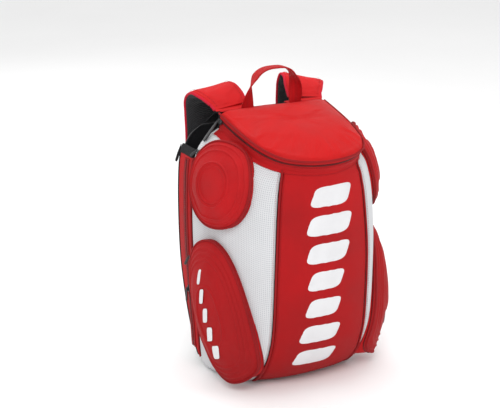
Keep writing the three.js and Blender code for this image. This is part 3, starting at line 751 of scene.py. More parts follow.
faces += [tuple(idx[-1]), tuple(idx[-1][::-1] + m)]
points = np.concatenate([outer.reshape(-1, 3), inner.reshape(-1, 3)])
kinds = [0] * len(quads) + [1] * len(quads) + [0] * cols_ + [0, 1]
uv = points[:, :2] * 0.001
lid = make_mesh("lid_cloth_top", points, facing(points, faces, Z_AXIS), ["lid", "lining"], uv, kinds)
pins = {int(i): 1.0 for i in idx[:3].reshape(-1)} | {i + m: 1.0 for i in range(m)}
simulate(lid, pins, 1.2, 0.02, 2.5)
dress(lid, "lid", "lid_fabric", "lid_panel")


def band_grid(v0, v1, rows_up, t0=0.03, lift=0.0):
    ts = [*steps(t0, 1, 60), *steps(1.03, 2, 30)]
    grid = []
    for v in steps(v0, v1, rows_up):
        out = lift + 1.2 * max(0, 9 - v)
        row = {s: [shell(s, v, t) + shell_normal(s, 9.5, t) * out for t in ts] for s in (-1, 1)}
        grid.append([*row[-1], *row[1][::-1][1:]])
    return np.array(grid)


def band_line(v, lift, t0=0.03):
    """A line round the lid's band with its outward normals."""
    ts = [*steps(t0, 1, 60), *steps(1.03, 2, 30)]
    line = {s: [(shell(s, v, t), shell_normal(s, 9.5, t)) for t in ts] for s in (-1, 1)}
    pairs = [*line[-1], *line[1][::-1][1:]]
    return np.array([p + nn * lift for p, nn in pairs]), np.array([nn for _, nn in pairs])


path, _ = band_line(9.965, 0.7, 0.012)
dress(tube("lid_bead", path, 1.7, "piping", 10), "lid", "piping", "lid_piping")
for name, v0, v1, body, node in (("lid_rand", 9.665, 9.925, "lid", "lid_band"),
                                 ("mouth_rand", 8.46, 9.49, "bag", "lower_band")):
    P = band_grid(v0, v1, 8, 0.03, 0.6)
    d = edge_distance(P)
    height = edge_distance(P, "tb")
    lift = 1.0 * np.sin(np.pi * np.clip(height / (height.max() * 2), 0, 1)) - rolled(d, 2, 1.0)
    lift += ripple(P, 30, (1, 1, 1), 2.2) * 0.3
    strip_, n = slab(name, P, ["band", "lining"], 2.4, lift, outward=vec(0, -1, 0))
    dress(subdivided(strip_), body, "red_fabric", node)
for name, v0, v1, body in (("zip_tape_upper", 9.585, 9.67, "lid"), ("zip_tape_lower", 9.475, 9.56, "bag")):
    strip_, n = slab(name, band_grid(v0, v1, 2), ["tape", "tape"], 1.0, -0.6, outward=vec(0, -1, 0))
    dress(strip_, body, "zip_tape", *(["lid_zip_tape"] if body == "bag" else []))
path, normals = band_line(9.572, -0.6)
dress(zip_teeth("lid_zip_coil", path, normals), "bag", "zip_tape")
path, normals = band_line(9.40, 1.0)
dress(stitches("mouth_stitch", path, normals, lift=0.0), "bag", "piping")
path, normals = band_line(8.56, 2.0)
dress(stitches("mouth_stitch_low", path, normals, lift=0.0), "bag", "piping")

# ---------------------------------------------------------------- racket compartment
for side, word, top in ((-1, "left", HEM_Z), (1, "right", 450)):
    P = np.array([[vec(side * rear_width(z), y0 + (rear_y(z) - y0) * k, z) for k in steps(0, 1, 16)]
                  for z in steps(20, top, 90) for y0 in [Y_DIVIDER + WALL + 0.4]])
    d = edge_distance(P, "lr")
    lift = (1.4 * np.clip(d / 20, 0, 1) ** 0.7 - rolled(d, 4, 1.6)
            + ripple(P, 40, (1, 1, 0.4), 7.7 + side) * 0.5 * np.clip(d / 12, 0, 1))
    piece, n = slab(f"gusset_cloth_{word}", P, ["gusset", "lining"], WALL, lift - 0.6,
                    outward=vec(side, 0, 0))
    dress(piece, "bag", "dark_red_fabric", f"racket_gusset_{word}")
    # bound edge where the gusset meets the back panel
    zs = steps(21, top - 1, 120)
    path = [vec(side * (rear_width(z) - 1.6), rear_y(z) - 0.4, z) for z in zs]
    dress(tube(f"rear_binding_{word}", path, 2.3, "webbing", 10), "bag", "black_lining")
    path = [vec(side * (rear_width(z) + 0.1), Y_SIDE + 2.4, z) for z in zs]
    dress(tube(f"side_binding_{word}", path, 2.0, "piping", 10), "bag", "piping")

zs = steps(HEM_Z - 3, 417, 8)
P = np.array([[vec(-rear_width(z), y, z) for y in steps(Y_DIVIDER + WALL + 0.4, Y_BACK, 16)] for z in zs])
d = edge_distance(P)
piece, n = slab("hem_binding", P, ["tape_black", "tape_black"], WALL + 1.6, 1.4 - rolled(d, 3, 1.2),
                outward=vec(-1, 0, 0))
dress(subdivided(piece), "bag", "zip_tape", "racket_hem_left")

# zip up the left gusset
zs = steps(34, HEM_Z - 6, 120)
line = np.array([vec(-rear_width(z), 86, z) for z in zs])
line_n = np.array([rear_normal(z) * vec(-1, 1, 1) for z in zs])
for k, off in enumerate((-5.0, 5.0)):
    P = np.array([[p + vec(0, off + w, 0) for w in steps(-3.6, 3.6, 4)] for p in line])
    piece, n = slab(f"gusset_zip_tape_{k}", P, ["tape", "tape"], 1.0, 1.5, outward=vec(-1, 0, 0))
    dress(piece, "bag", "zip_tape")
dress(zip_teeth("gusset_zip_coil", line + line_n * 1.2, line_n, "coil", 2.0, 3.8), "bag", "zip_tape")

# back panel, lining and divider
P = np.array([[vec(x * (rear_width(z) - 4), rear_y(z), z) for x in steps(-1, 1, 60)]
              for z in steps(21, 447, 100)])
d = edge_distance(P)
lift = 1.0 * np.clip(d / 30, 0, 1) - rolled(d, 4, 1.4) + ripple(P, 60, (1, 1, 0.6), 4.4) * 0.4
piece, n = slab("back_cloth", P, ["air", "lining"], 3.5, lift - 0.6, outward=vec(0, 1, 0))
dress(piece, "bag", "black_lining", "back_panel")
P = np.array([[vec(x * (rear_width(z) - 3.6), Y_DIVIDER, z) for x in steps(-1, 1, 50)]
              for z in steps(1, 475, 100)])
lift = ripple(P, 70, (1, 1, 0.5), 8.8) * 0.5
piece, n = slab("divider_cloth", P, ["lining", "lining"], WALL - 0.4, lift - 0.3, outward=vec(0, -1, 0))
dress(piece, "bag", "black_lining", "divider_panel")

# yoke over the top of the racket compartment
profile = [(61.2, 478.5), (70, 478.7), (77, 478.2), (83, 475.4), (95, 468), (108, 460), (117, 454),
           (121, 450)]
P = np.array([[vec(x, y, z) for x in steps(-105, 105, 60)] for y, z in profile])
d = edge_distance(P)
lift = 0.8 - rolled(d, 4, 0.9) + ripple(P, 40, (1, 1, 1), 6.6) * 0.3
piece, n = slab("yoke_cloth", P, ["lining", "lining"], 2.4, lift, outward=vec(0, 0, 1))
dress(subdivided(piece), "bag", "black_lining", "top_yoke")
# taped rear edge of the lid, where it is sewn to the yoke
P = np.array([[vec(x, y, z) for x in steps(-103, 103, 60)]
              for y, z in ((59.6, 480.3), (62.5, 480.6), (66, 480.1))])
piece, n = slab("lid_seam_tape", P, ["gusset", "gusset"], 1.2, 0.4, outward=vec(0, 0, 1))
dress(subdivided(piece), "bag", "black_lining")

# ---------------------------------------------------------------- haul handle
FEET, TOP = 48, 554
arch = []
for q in steps(0, 1, 1200):
    cx, sz = math.cos(math.pi * q), math.sin(math.pi * q)
    arch.append(vec(-FEET * math.copysign(abs(cx) ** 0.7, cx), 0,
                    LID_HINGE_Z - 0.8 + (TOP - 1.6 - LID_HINGE_Z) * max(sz, 0) ** 0.7))
arch = np.array(arch)
run = np.concatenate([[0], np.cumsum(np.linalg.norm(np.diff(arch, axis=0), axis=1))])
at_even = np.linspace(0, run[-1], 110)
path = np.stack([np.interp(at_even, run, arch[:, k]) for k in range(3)], -1)
rise_ = np.clip((path[:, 2] - LID_HINGE_Z) / (TOP - LID_HINGE_Z), 0, 1)
path[:, 1] = 65 - 13 * rise_
turn_ = math.pi / 2 * np.minimum(1, rise_ * 1.3) ** 1.2 * np.where(path[:, 0] < 0, 1, -1)
across = np.stack([np.cos(turn_), np.sin(turn_), 0 * turn_], -1) * np.where(path[:, 0] > 0, -1, 1)[:, None]
rings = strip(path, across, 24, 2.8, 6, 24)
handle = skin("handle_webbing", rings, "webbing_red")
dress(handle, "handle", "red_webbing", "haul_handle")
for side, word in SIDES:
    centre = vec(side * 48, 66, 480.6)
    foot = lump(centre + vec(0, 6, -0.4), X_AXIS, Y_AXIS, Z_AXIS, (32, 16, 1.6), 8, 6, 16)
    dress(joined(f"handle_patch_{word}", [foot], "webbing_red"), "bag", "black_lining")

# ---------------------------------------------------------------- shoulder straps
STRAP = np.array([
    [76, 77.5, 483.4, 68, 0], [79, 90, 497, 74, 0.4], [87, 106, 507, 80, 0.8], [93, 124, 508, 86, 1],
    [95, 141, 493, 84, 0.8], [94, 150, 466, 78, 0.5], [94, 153, 416, 73, 0.2], [98, 153, 346, 69, 0],
    [106, 151, 270, 64, 0], [113, 147, 205, 54, 0], [115, 145, 191, 44, 0],
], float)
STRAP_T = 11


def strap_stations(side, tilt, per=9):
    path, across, width, thick = [], [], [], []
    last = len(STRAP) - 1
    for i in range(last):
        for t in steps(0, 1, per)[: per + (1 if i == last - 1 else 0)]:
            k = [STRAP[max(0, min(n, last))] for n in (i - 1, i, i + 1, i + 2)]
            x, y, z, w, lean = spline(*k, t)
            a = math.radians(tilt * lean)
            path.append(vec(side * x, y, z))
            across.append(vec(side * math.cos(a), 0, -math.sin(a)))
            width.append(w)
            ends = min(1, 0.55 + (i + t) * 0.3, 0.55 + (last - i - t) * 0.3)
            thick.append(STRAP_T * ends)
    return np.array(path), np.array(across), np.array(width), np.array(thick)


for side, word, tilt in ((-1, "left", 7), (1, "right", 16)):
    path, across, width, thick = strap_stations(side, tilt)
    cols = 40
    rings = strip(path, across, width - 3, thick - 1, 3.4, cols)
    along = np.gradient(path, axis=0)
    out = np.cross(along, across)
    sign = np.sign((out * vec(0, 1, 0.4)).sum())  # which way round the outer, red face lies
    q = (np.arange(cols) + 0.5) * 2 * math.pi / cols
    red = np.sin((np.arange(cols) + 1.0) * 2 * math.pi / cols) * sign > 0
    strap = skin(f"strap_pad_{word}", rings, ["strap", "air"], face_mat=np.where(red, 0, 1)[None, :])
    pins = {}
    for i in range(len(path)):
        for j in range(cols):
            c = abs(math.cos(q[j]))
            if c > 0.9 or i < 4 or i > len(path) - 5:
                pins[i * cols + j] = 1.0
    pins |= {len(path) * cols: 1.0, len(path) * cols + 1: 1.0}
    simulate(strap, pins, 3.0, 0.03, 3.0)
    subdivided(strap)
    dress(strap, f"strap_{word}", "strap_fabric", f"shoulder_strap_{word}")
    tangent = along / np.linalg.norm(along, axis=1, keepdims=True)
    a = across - tangent * np.sum(across * tangent, 1, keepdims=True)
    a /= np.linalg.norm(a, axis=1, keepdims=True)
    face = np.cross(tangent, a) * sign
    for edge, k in (("inner", -1), ("outer", 1)):
        line = path + a * (width[:, None] / 2 - 1.8) * k
        rim_ = strip(line, a, 5.0, 4.6, 2.4, 12)
        piece = skin(f"strap_binding_{edge}_{word}", rim_, "binding")
        dress(piece, f"strap_{word}", "strap_fabric")
        line = path + a * (width[:, None] / 2 - 8.5) * k + face * (thick[:, None] / 2 * 0.93)
        piece = stitches(f"strap_stitch_{edge}_{word}", line[3:-3], face[3:-3], "thread", 4.4, 3.1, 0.34, 0.5)
        dress(piece, f"strap_{word}", "strap_fabric")
    # sewn root of the strap on the yoke
    P = np.array([[vec(side * 78 + x, y, z) for x in steps(-30, 30, 16)]
                  for y, z in ((68, 480.2), (74, 481.6), (79, 483.2), (84, 484.6))])
    piece, n = slab(f"strap_root_{word}", P, ["strap", "strap"], 1.6, 0.2, outward=Z_AXIS)
    dress(subdivided(piece), "bag", "strap_fabric")

    # sewn tab that holds the ladder lock on the strap's lower end
    tab = lump(vec(side * 115.6, 144.8, 191), X_AXIS, unit(vec(0, 0.08, 1)), unit(vec(0, 1, -0.08)),
               (30, 17, 3.4), 8, 6, 14)
    dress(joined(f"lock_tab_{word}", [tab], "webbing"), f"strap_{word}", "black_webbing")

    # lower webbing from the anchor to the lock, and the free tail
    web = np.array([[126.5, 110.6, 61], [126, 114, 79], [123, 123, 107], [120, 133, 136], [118, 140.5, 158]])
    tail = np.array([[117, 147.4, 173], [117.5, 147.8, 155], [118.5, 147.4, 130], [119, 147, 105],
                     [119, 147, 87]])
    web, tail = web * vec(side, 1, 1), tail * vec(side, 1, 1)

    def smooth(points, n):
        s = np.linspace(0, len(points) - 1, n)
        out_ = []
        for x in s:
            i = min(int(x), len(points) - 2)
            k = [points[max(0, min(m, len(points) - 1))] for m in (i - 1, i, i + 1, i + 2)]
            out_.append(spline(*k, x - i))
        return np.array(out_)

    web_rings = strip(smooth(web, 50), vec(side, 0, 0), 25, 1.8, 7, 24)
    web_piece = skin(f"lower_webbing_{word}", web_rings, "webbing")
    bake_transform(web_piece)
    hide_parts(f"strap_webbing_{word}")
    line = smooth(tail, 50)
    line[:, 1] += np.sin(np.linspace(0, 9, 50)) * 0.5
    piece = skin(f"tail_webbing_{word}", strip(line, vec(side, 0, 0), 25, 1.8, 7, 24), "webbing")
    dress(piece, f"tail_{word}", "black_webbing", f"strap_tail_{word}")
    hem = lump(tail[-1] + vec(0, 0.6, 7), X_AXIS, Z_AXIS, Y_AXIS, (25, 14, 3.2), 8, 6, 14)
    dress(joined(f"tail_hem_{word}", [hem], "webbing"), f"tail_{word}", "black_webbing")


# ---------------------------------------------------------------- back padding
def back_pad(name, cx, cz, a, b, rise, power, channels, node):
    around, rings = 120, [1, 0.985, 0.96, 0.92, 0.87, 0.81, 0.74, 0.66, 0.57, 0.47, 0.36, 0.24, 0.12, 0.04]
    P, uv = [], []
    for r in rings:
        ring = []
        for j in range(around):
            q = 2 * math.pi * j / around
            cu, su = rounded(q, power)
            x, z = cx + a * r * cu, cz + b * r * su
            lift = 0.5 + rise * (1 - r ** 7) ** 0.5 if r < 1 else 0.5
            # sewn channels across the pad
            dz = min(abs(z - cz - k) for k in channels)
            lift -= 4.2 * math.exp(-((dz / 4.5) ** 2)) * (1 if r < 0.97 else 0)
            ring.append(vec(x, rear_y(z) + max(lift, 0.4), z))
            uv.append((x * 0.001, z * 0.001))
        P.append(ring)
    P = np.array(P)
    back = P[0] - vec(0, 0.3, 0)
    points = np.concatenate([P.reshape(-1, 3), back])
    n = len(rings) * around
    faces = []
    for i in range(len(rings) - 1):
        for j in range(around):
            k = (j + 1) % around
            faces.append((i * around + j, i * around + k, (i + 1) * around + k, (i + 1) * around + j))
    faces.append(tuple((len(rings) - 1) * around + j for j in range(around)))
    for j in range(around):
        k = (j + 1) % around
        faces.append((k, j, n + j, n + k))
    faces.append(tuple(n + j for j in reversed(range(around))))
    uv += [(p[0] * 0.001, p[2] * 0.001) for p in back]
    piece = make_mesh(name, points, facing(points, faces, Y_AXIS), "air", uv)
    pins = {i: 1.0 for i in range(around)} | {n + j: 1.0 for j in range(around)}
    for i, p in enumerate(points[:n]):
        if min(abs(p[2] - cz - k) for k in channels) < 2.5:
            pins[i] = 1.0
    simulate(piece, pins, 3.0, 0.03, 3.0)
    dress(piece, "bag", "spacer_mesh", node)
    loop = [p + vec(0, 1.2, 0) for p in P[0]]
    dress(tube(f"{name}_binding", loop, 1.9, "webbing", 8, True), "bag", "spacer_mesh")


for side, word in SIDES:
    back_pad(f"back_cushion_{word}", side * 62, 329, 43, 97, 9.5, 3.2, (-49, 0, 49), f"back_pad_{word}")
back_pad("lumbar_cushion", 0, 176, 103, 37, 9.5, 3.4, (-200,), "lumbar_pad")

# ---------------------------------------------------------------- moulded side pockets
POCKETS = {
    "upper": {"c": (143.5, -15, 372), "yaw": 14, "lean": 13, "twist": 0, "a": 76, "b": 76, "power": 2,
              "dome": 21, "lip": 4, "start": 146},
    "lower": {"c": (149, -29, 144), "yaw": 18, "lean": 1, "twist": 18, "a": 67, "b": 130, "power": 2.25,
              "dome": 35, "lip": 6, "start": 132},
}


def shell_tree(side):
    """The whole half shell with its gusset, for finding where a pocket wall meets the bag."""
    grid = []
    for v in [*steps(0, V_BAND, 90), 9.5, V_LID]:
        row = [shell(side, v, t) for t in [*steps(0, 1, 30), *steps(1.1, 2, 9)]]
        grid.append([vec(row[0][0], Y_BACK, row[0][2]), *row])
    P = np.array(grid)
    rows_, cols_ = P.shape[:2]
    idx = np.arange(rows_ * cols_).reshape(rows_, cols_)
    return BVHTree.FromPolygons([tuple(p) for p in P.reshape(-1, 3)],
                                [tuple(int(i) for i in q) for q in open_quads(idx)])


def zip_slider(name, centre, along, across, out, size, body, slot, node):
    """Cast slider body with its bridge."""
    l, w, t = size
    parts = [lump(centre - out * t * 0.12, along, across, out, (l, w, t * 0.76), 5, 6, 14),
             lump(centre + out * t * 0.42, along, across, out, (l * 0.78, w * 0.42, t * 0.4), 3, 6, 12),
             lump(centre + along * l * 0.34, along, across, out, (l * 0.3, w * 0.5, t * 0.95), 3, 6, 12)]
    dress(joined(name, parts, "plastic"), body, slot, node)


def zip_pull(name, top, down, face, length, width, thick, body, node):
    """Moulded pull: tapered tab with grip ribs and an eye at its top."""
    down = unit(down)
    across = unit(np.cross(down, face))
    out = unit(np.cross(across, down))
    rings = []
    for k in steps(0.0, 1.0, 26):
        foot = math.sqrt(max(0.02, 1 - max(0, (k - 0.82) / 0.18) ** 2.4))
        w = width * (0.55 + 0.45 * min(1, k * 2.4)) * foot * (0.5 if k == 0 else 1)
        rib = 1 + (0.22 * math.sin(k * 60) if 0.35 < k < 0.8 else 0)
        rings.append((top + down * length * k, w, thick * rib * (1 if k < 0.95 else 0.8)))
    path = np.array([r[0] for r in rings])
    widths, depths = (np.array([r[i] for r in rings]) for i in (1, 2))
    body_rings = strip(path, across, widths, depths, 3.5, 16)
    piece = skin(name, body_rings, "plastic")
    dress(subdivided(piece), body, "black_plastic", node)
    q = np.linspace(0, 2 * math.pi, 24, endpoint=False)
    eye = [top - down * 1.2 + (across * math.cos(x) * 0.42 + down * math.sin(x) * 0.5) * width * 0.55
           for x in q]
    dress(tube(f"{name}_eye", eye, max(0.6, thick * 0.28), "plastic", 8, True), body, "black_plastic")


for side, word in SIDES:
    tree = shell_tree(side)
    for level, p in POCKETS.items():
        yaw, lean, twist = (math.radians(p[k]) for k in ("yaw", "lean", "twist"))
        n = vec(side * math.cos(yaw) * math.cos(lean), -math.sin(yaw) * math.cos(lean), math.sin(lean))
        level0 = vec(-side * math.sin(yaw), -math.cos(yaw), 0)
        rise0 = vec(-side * math.cos(yaw) * math.sin(lean), math.sin(yaw) * math.sin(lean), math.cos(lean))
        fore = level0 * math.cos(twist) + rise0 * math.sin(twist)
        up = rise0 * math.cos(twist) - level0 * math.sin(twist)
        c = vec(side * p["c"][0], p["c"][1], p["c"][2])

        def at(q, r=0.0, h=0.0, k=1.0):
            cu, su = rounded(q, p["power"])
            u, w = p["a"] * cu, p["b"] * su
            s = max(0, 1 - r / math.hypot(u, w)) * k
            return c + fore * u * s + up * w * s + n * h

        AROUND = 144
        qs = [2 * math.pi * j / AROUND for j in range(AROUND)]

        # wall of the pocket, from the zip down to the bag
        depth = []
        for q in qs:
            start = at(q, 2.4, 3)
            hit = tree.ray_cast(Vector(start), Vector(-n), 90)
            depth.append(min(hit[3] - 3 + 2 if hit[0] else 60.0, 40.0))
        depth = np.array(depth)
        for _ in range(2):
            depth = (np.roll(depth, 1) + depth * 2 + np.roll(depth, -1)) / 4
        depth = np.maximum(depth, 0.6)
        ahead = np.array([np.clip(((at(q) - c) @ fore / p["a"] + 0.15) / 0.75, 0, 1) for q in qs])
        hug = np.minimum(np.maximum(depth - 7, 0), 24) * ahead * ahead * (3 - 2 * ahead)
        for _ in range(6):
            hug = (np.roll(hug, 1) + hug * 2 + np.roll(hug, -1)) / 4
        depth = np.maximum(depth - hug, 0.6)

        def bent(grid_, k_of):
            """Leans a pocket ring towards the bag where it stands off it, less towards the middle."""
            k_of = np.array(k_of, float)[:, None]
            return grid_ - n * (hug[None, :] * k_of ** 2.2)[..., None]
        P = np.array([[at(q, 1.4 - 0.9 * math.sin(math.pi * k), -0.6 - max(0.4, depth[j] - 0.6) * k)
                       for j, q in enumerate(qs)] for k in steps(0, 1, 10)])
        P = bent(P, [1] * len(P))
        radial = np.array([unit(at(q) - c) for q in qs])
        inner = P - radial[None] * 3
        rows_, cols_ = P.shape[:2]
        idx = np.arange(rows_ * cols_).reshape(rows_, cols_)
        m = rows_ * cols_
        quads = ring_quads(idx)
        faces = [tuple(x) for x in quads] + [tuple(x[::-1] + m) for x in quads]
        for row, flip in ((idx[0], False), (idx[-1], True)):
            for j in range(cols_):
                k = (j + 1) % cols_
                f = (row[k], row[j], row[j] + m, row[k] + m)
                faces.append(f[::-1] if flip else f)
        pts = np.concatenate([P.reshape(-1, 3), inner.reshape(-1, 3)])
        faces = facing(pts, faces, radial[0])
        uvp = np.stack([arc_lengths(P, 1), arc_lengths(P, 0)], -1).reshape(-1, 2) * 0.001
        wall = make_mesh(f"pocket_wall_{level}_{word}", pts, faces, ["gusset", "lining"],
                         np.concatenate([uvp, uvp]), [0] * len(quads) + [1] * len(quads) + [0] * (2 * cols_))
        dress(wall, "bag", "red_fabric", f"pocket_rim_{level}_{word}")
        foot = [at(q, 0.9, 1.6 - depth[j] - hug[j]) for j, q in enumerate(qs)]
        dress(tube(f"pocket_seam_{level}_{word}", foot, 1.6, "piping", 8, True), "bag", "piping")

        # moulded cover with raised rings that follow its outline
        body = f"pocket_{level}_{word}"
        ks = [1, 0.995, 0.985, *[0.972 - 0.0115 * i for i in range(52)], 0.35, 0.3, 0.24, 0.18, 0.12, 0.05]
        ridges = (0.9, 0.78, 0.5, 0.42) if level == "upper" else (0.91, 0.83, 0.75, 0.4)

        def rise(k):
            return p["lip"] + (p["dome"] - p["lip"]) * (1 - k ** 2.6)

        def ring_bead(k):
            return 1.9 * sum(math.exp(-(((k - x) / 0.014) ** 2)) for x in ridges)

        def lift_at(k, q):
            return rise(k) - float(rolled(np.array((1 - k) * 80), 4, 1.6))

        outer = [[at(q, 0, 0.1) for q in qs], [at(q, -0.2, p["lip"] * 0.5) for q in qs]]
        outer += [[at(q, 0, lift_at(k, q), k) for q in qs] for k in ks]
        outer = np.array(outer)
        wave = ripple(outer, 38, (1, 1, 0.7), 11.0 + side) * 0.9
        weight = np.array([0, 0] + [0.0 if k > 0.94 else 1.0 for k in ks])[:, None]
        outer = bent(outer + n * (wave * weight)[..., None], [1, 1, *ks])
        inner = [[at(q, 3, 0.1) for q in qs], [at(q, 3, p["lip"] * 0.4) for q in qs]]
        inner += [[at(q, 3, rise(k) - 3 - 2.5 * min(1, (1 - k) * 6), k) for q in qs] for k in ks]
        inner = bent(np.array(inner), [1, 1, *ks])
        rows_, cols_ = outer.shape[:2]
        idx = np.arange(rows_ * cols_).reshape(rows_, cols_)
        m = rows_ * cols_
        quads = ring_quads(idx)
        faces = [tuple(x) for x in quads] + [tuple(x[::-1] + m) for x in quads]
        faces += [(idx[0, (j + 1) % cols_], idx[0, j], idx[0, j] + m, idx[0, (j + 1) % cols_] + m)
                  for j in range(cols_)]
        faces += [tuple(idx[-1]), tuple(idx[-1][::-1] + m)]
        pts = np.concatenate([outer.reshape(-1, 3), inner.reshape(-1, 3)])
        faces = facing(pts, faces, n, len(quads) - 1)
        local = np.stack([(pts - c) @ fore, (pts - c) @ up], -1) * 0.001
        cover = make_mesh(f"pocket_shell_{level}_{word}", pts, faces, ["pocket", "lining"], local,
                          [0] * len(quads) + [1] * len(quads) + [0] * cols_ + [0, 1])
        pins = {int(i): 1.0 for i in idx[:6].reshape(-1)} | {i + m: 1.0 for i in range(m)}
        simulate(cover, pins, 1.5, 0.025, 2.0, smooth=30)
        for r, k in enumerate(ks):
            for i in idx[r + 2]:
                cover.data.vertices[int(i)].co += Vector(n * ring_bead(k) * 0.001)
        dress(cover, body, "moulded_red", f"pocket_cover_{level}_{word}")
        edge = [at(q, 0.6, p["lip"] + 0.2 - hug[j]) for j, q in enumerate(qs)]
        dress(tube(f"pocket_piping_{level}_{word}", edge, 2.1, "piping", 10, True), body, "moulded_red")
        coil = [at(q, 0.6, 0.5 - hug[j % AROUND]) for j, q in enumerate(qs + qs[:1])]
        outs = np.array([*radial, radial[0]])
        teeth = zip_teeth(f"pocket_zip_{level}_{word}", coil, outs, "coil", 2.4, 2.6, 0.6)
        dress(teeth, "bag", "zip_tape")

        # slider and pull
        q = math.radians(p["start"])
        tangent = unit(at(q + 0.03) - at(q - 0.03))
        outward = unit(np.cross(tangent, n))
        if outward @ (at(q) - c) < 0:
            outward = -outward
        sc = at(q) + n * 3.2 + outward * 2.8
        zip_slider(f"pocket_runner_{level}_{word}", sc, tangent, n, outward, (11, 6, 4.4), body,
                   "black_plastic", f"pocket_slider_{level}_{word}")
        hang = unit(outward * 0.62 - up * 0.78)
        zip_pull(f"pocket_tab_{level}_{word}", sc + outward * 4.8 + n * 0.6, hang, n, 20, 5.4, 2.2,
                 f"pull_{level}_{word}", f"pocket_pull_{level}_{word}")

        if level == "lower":
            # row of printed slanted bars
            def place(x, z):
                """Point on the pocket's dome; x runs forward and z up along the pocket."""
                rr = ((abs(x) / p["a"]) ** p["power"] + (abs(z) / p["b"]) ** p["power"]) ** (1 / p["power"])
                base = c + fore * x + up * z
                q_ = math.atan2(z / p["b"], x / p["a"]) % (2 * math.pi)
                sunk = float(np.interp(q_, qs + [2 * math.pi], [*hug, hug[0]])) * rr ** 2.2
                h = rise(min(rr, 1)) + ring_bead(rr) - sunk
                hx = (rise(min(rr + 0.02, 1)) + ring_bead(rr) - h) / 0.02
                slope = unit(n - (fore * x / p["a"] ** 2 + up * z / p["b"] ** 2) * hx * 0.9)
                return base + n * h, slope
            for i, z in enumerate((70, 36, 2, -32, -66)):
                bar = patch(f"pocket_bar_{i}_{word}", place, (-6, z), (8 + 2 * i, 25), 0.34, "print", 5, 1.8)
                dress(bar, body, "moulded_red")

# printed bars of the front panel
for i in range(7):
    z = 364 - i * 50
    size = (74 + 9 * math.sin(i * 1.3), 36)
    bar = patch(f"front_bar_{i}", front_point, (8 - i * 3.2, z), size, 0.36, "print", 4.5, FRONT_LIFT + 0.6)
    dress(bar, "bag", "red_fabric")

# ---------------------------------------------------------------- remaining zip hardware
zip_dir = vec(0, -math.cos(math.radians(LID_SLOPE)), -math.sin(math.radians(LID_SLOPE)))
centre = shell(-1, 9.57, 0.06) + vec(-3.4, 0, 0)
zip_slider("lid_runner", centre, zip_dir, np.cross(-X_AXIS, zip_dir), -X_AXIS, (13, 9, 4.4), "lid_slider",
           "black_plastic", "lid_zip_slider")
zip_pull("lid_tab", centre + vec(-4.4, 1, 1), vec(-0.62, 0.05, -0.78), vec(-0.78, 0, 0.62), 42, 9, 3.2,
         "lid_pull", "lid_zip_pull")
z = 150
x = -(rear_width(z) + 3)
zip_slider("racket_runner", vec(x, 86, z), Z_AXIS, Y_AXIS, -X_AXIS, (13, 9, 4), "racket_slider",
           "black_plastic", "racket_zip_slider")
zip_pull("racket_tab", vec(x - 4, 86, z), vec(-0.03, 0, -1), -X_AXIS, 24, 6.4, 2.6, "racket_pull",
         "racket_zip_pull")
rear = vec(-147, Y_BACK + 3.2, 409)
zip_slider("racket_top_runner", rear, X_AXIS, Z_AXIS, Y_AXIS, (12, 9, 4), "bag", "black_plastic",
           "racket_top_slider")
zip_pull("racket_top_tab", rear + vec(-5, 4.2, 0), vec(-0.3, 0.1, -0.95), Y_AXIS, 30, 5.4, 2.4, "top_pull",
         "racket_top_pull")

# ---------------------------------------------------------------- CAD parts that stay
STAY = {"base_panel": "lining"}
STAY |= {f"ladder_lock_{w}": "plastic" for _, w in SIDES} | {f"strap_anchor_{w}": "webbing" for _, w in SIDES}
for node, mat in STAY.items():
    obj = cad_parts[node]
    obj.data.materials.clear()
    obj.data.materials.append(MAT[mat])
    if not obj.data.uv_layers:
        layer = obj.data.uv_layers.new(name="UVMap")
        for loop in obj.data.loops:
            co = obj.data.vertices[loop.vertex_index].co
            layer.data[loop.index].uv = (co.x, co.z if node != "base_panel" else co.y)
    bevel = obj.modifiers.new("Bevel", "BEVEL")
    bevel.width, bevel.segments, bevel.limit_method = 0.0007, 3, "ANGLE"

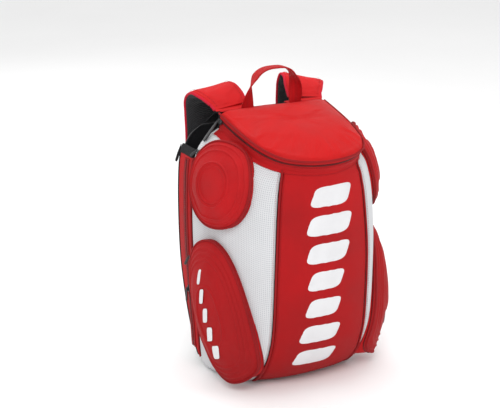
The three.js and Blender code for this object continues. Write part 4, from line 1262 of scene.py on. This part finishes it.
# ---------------------------------------------------------------- studio
target = Vector((0, Y_SHIFT, 279)) * 0.001
th, e = math.radians(28.6), math.radians(18.3)
right = Vector((math.cos(th), -math.sin(th), 0))
forward = Vector((math.sin(th) * math.cos(e), math.cos(th) * math.cos(e), -math.sin(e)))
up_ = right.cross(forward)
FOCAL_PX, AIM_X, AIM_Y, DISTANCE = 1257, 38.7, -17.3, 2.263
cam = bpy.data.objects.new("camera", bpy.data.cameras.new("camera"))
scene.collection.objects.link(cam)
cam.data.sensor_width, cam.data.lens = 36, 36 * FOCAL_PX / 500
turn = Vector((0, 0, -1)).rotation_difference(Vector((AIM_X, AIM_Y, -FOCAL_PX)).normalized()).to_matrix()
axes = Matrix((right, up_, -forward)).transposed() @ turn.transposed()
cam.matrix_world = Matrix.Translation(target - forward * DISTANCE) @ axes.to_4x4()
scene.camera = cam

floor = bpy.data.meshes.new("floor")
floor.from_pydata([(-9, -9, 0), (9, -9, 0), (9, 9, 0), (-9, 9, 0)], [], [(0, 1, 2, 3)])
floor_obj = bpy.data.objects.new("floor", floor)
scene.collection.objects.link(floor_obj)
m = Nodes("floor_paper")
cloud = m.noise(m.coords("Object"), 1.5)
floor.materials.append(m.finish(m.mix(m.ramp(cloud, 0.3, 0.7, 0, 1), [0.93] * 3, [0.95] * 3),
                                m.ramp(cloud, 0.3, 0.7, 0.8, 0.9), cloud, 0.02))


def lamp(name, place, size, power, colour=(1, 1, 1)):
    light = bpy.data.lights.new(name, "AREA")
    light.size, light.energy, light.color = size, power, colour
    obj = bpy.data.objects.new(name, light)
    obj.location = place
    obj.rotation_euler = (Vector((0, 0, 0.3)) - Vector(place)).to_track_quat("-Z", "Y").to_euler()
    scene.collection.objects.link(obj)


lamp("key", (-1.2, -2.0, 2.5), 1.4, 37)
lamp("fill", (2.2, -1.4, 1.4), 1.8, 8)
lamp("top", (0.2, 0.3, 2.6), 1.6, 16)
lamp("rear", (-0.4, 2.4, 1.6), 1.6, 12)
world = bpy.data.worlds.new("studio")
world.use_nodes = True
world.node_tree.nodes["Background"].inputs[0].default_value = (1, 1, 1, 1)
world.node_tree.nodes["Background"].inputs[1].default_value = 0.86
scene.world = world
scene.view_settings.view_transform = "Standard"
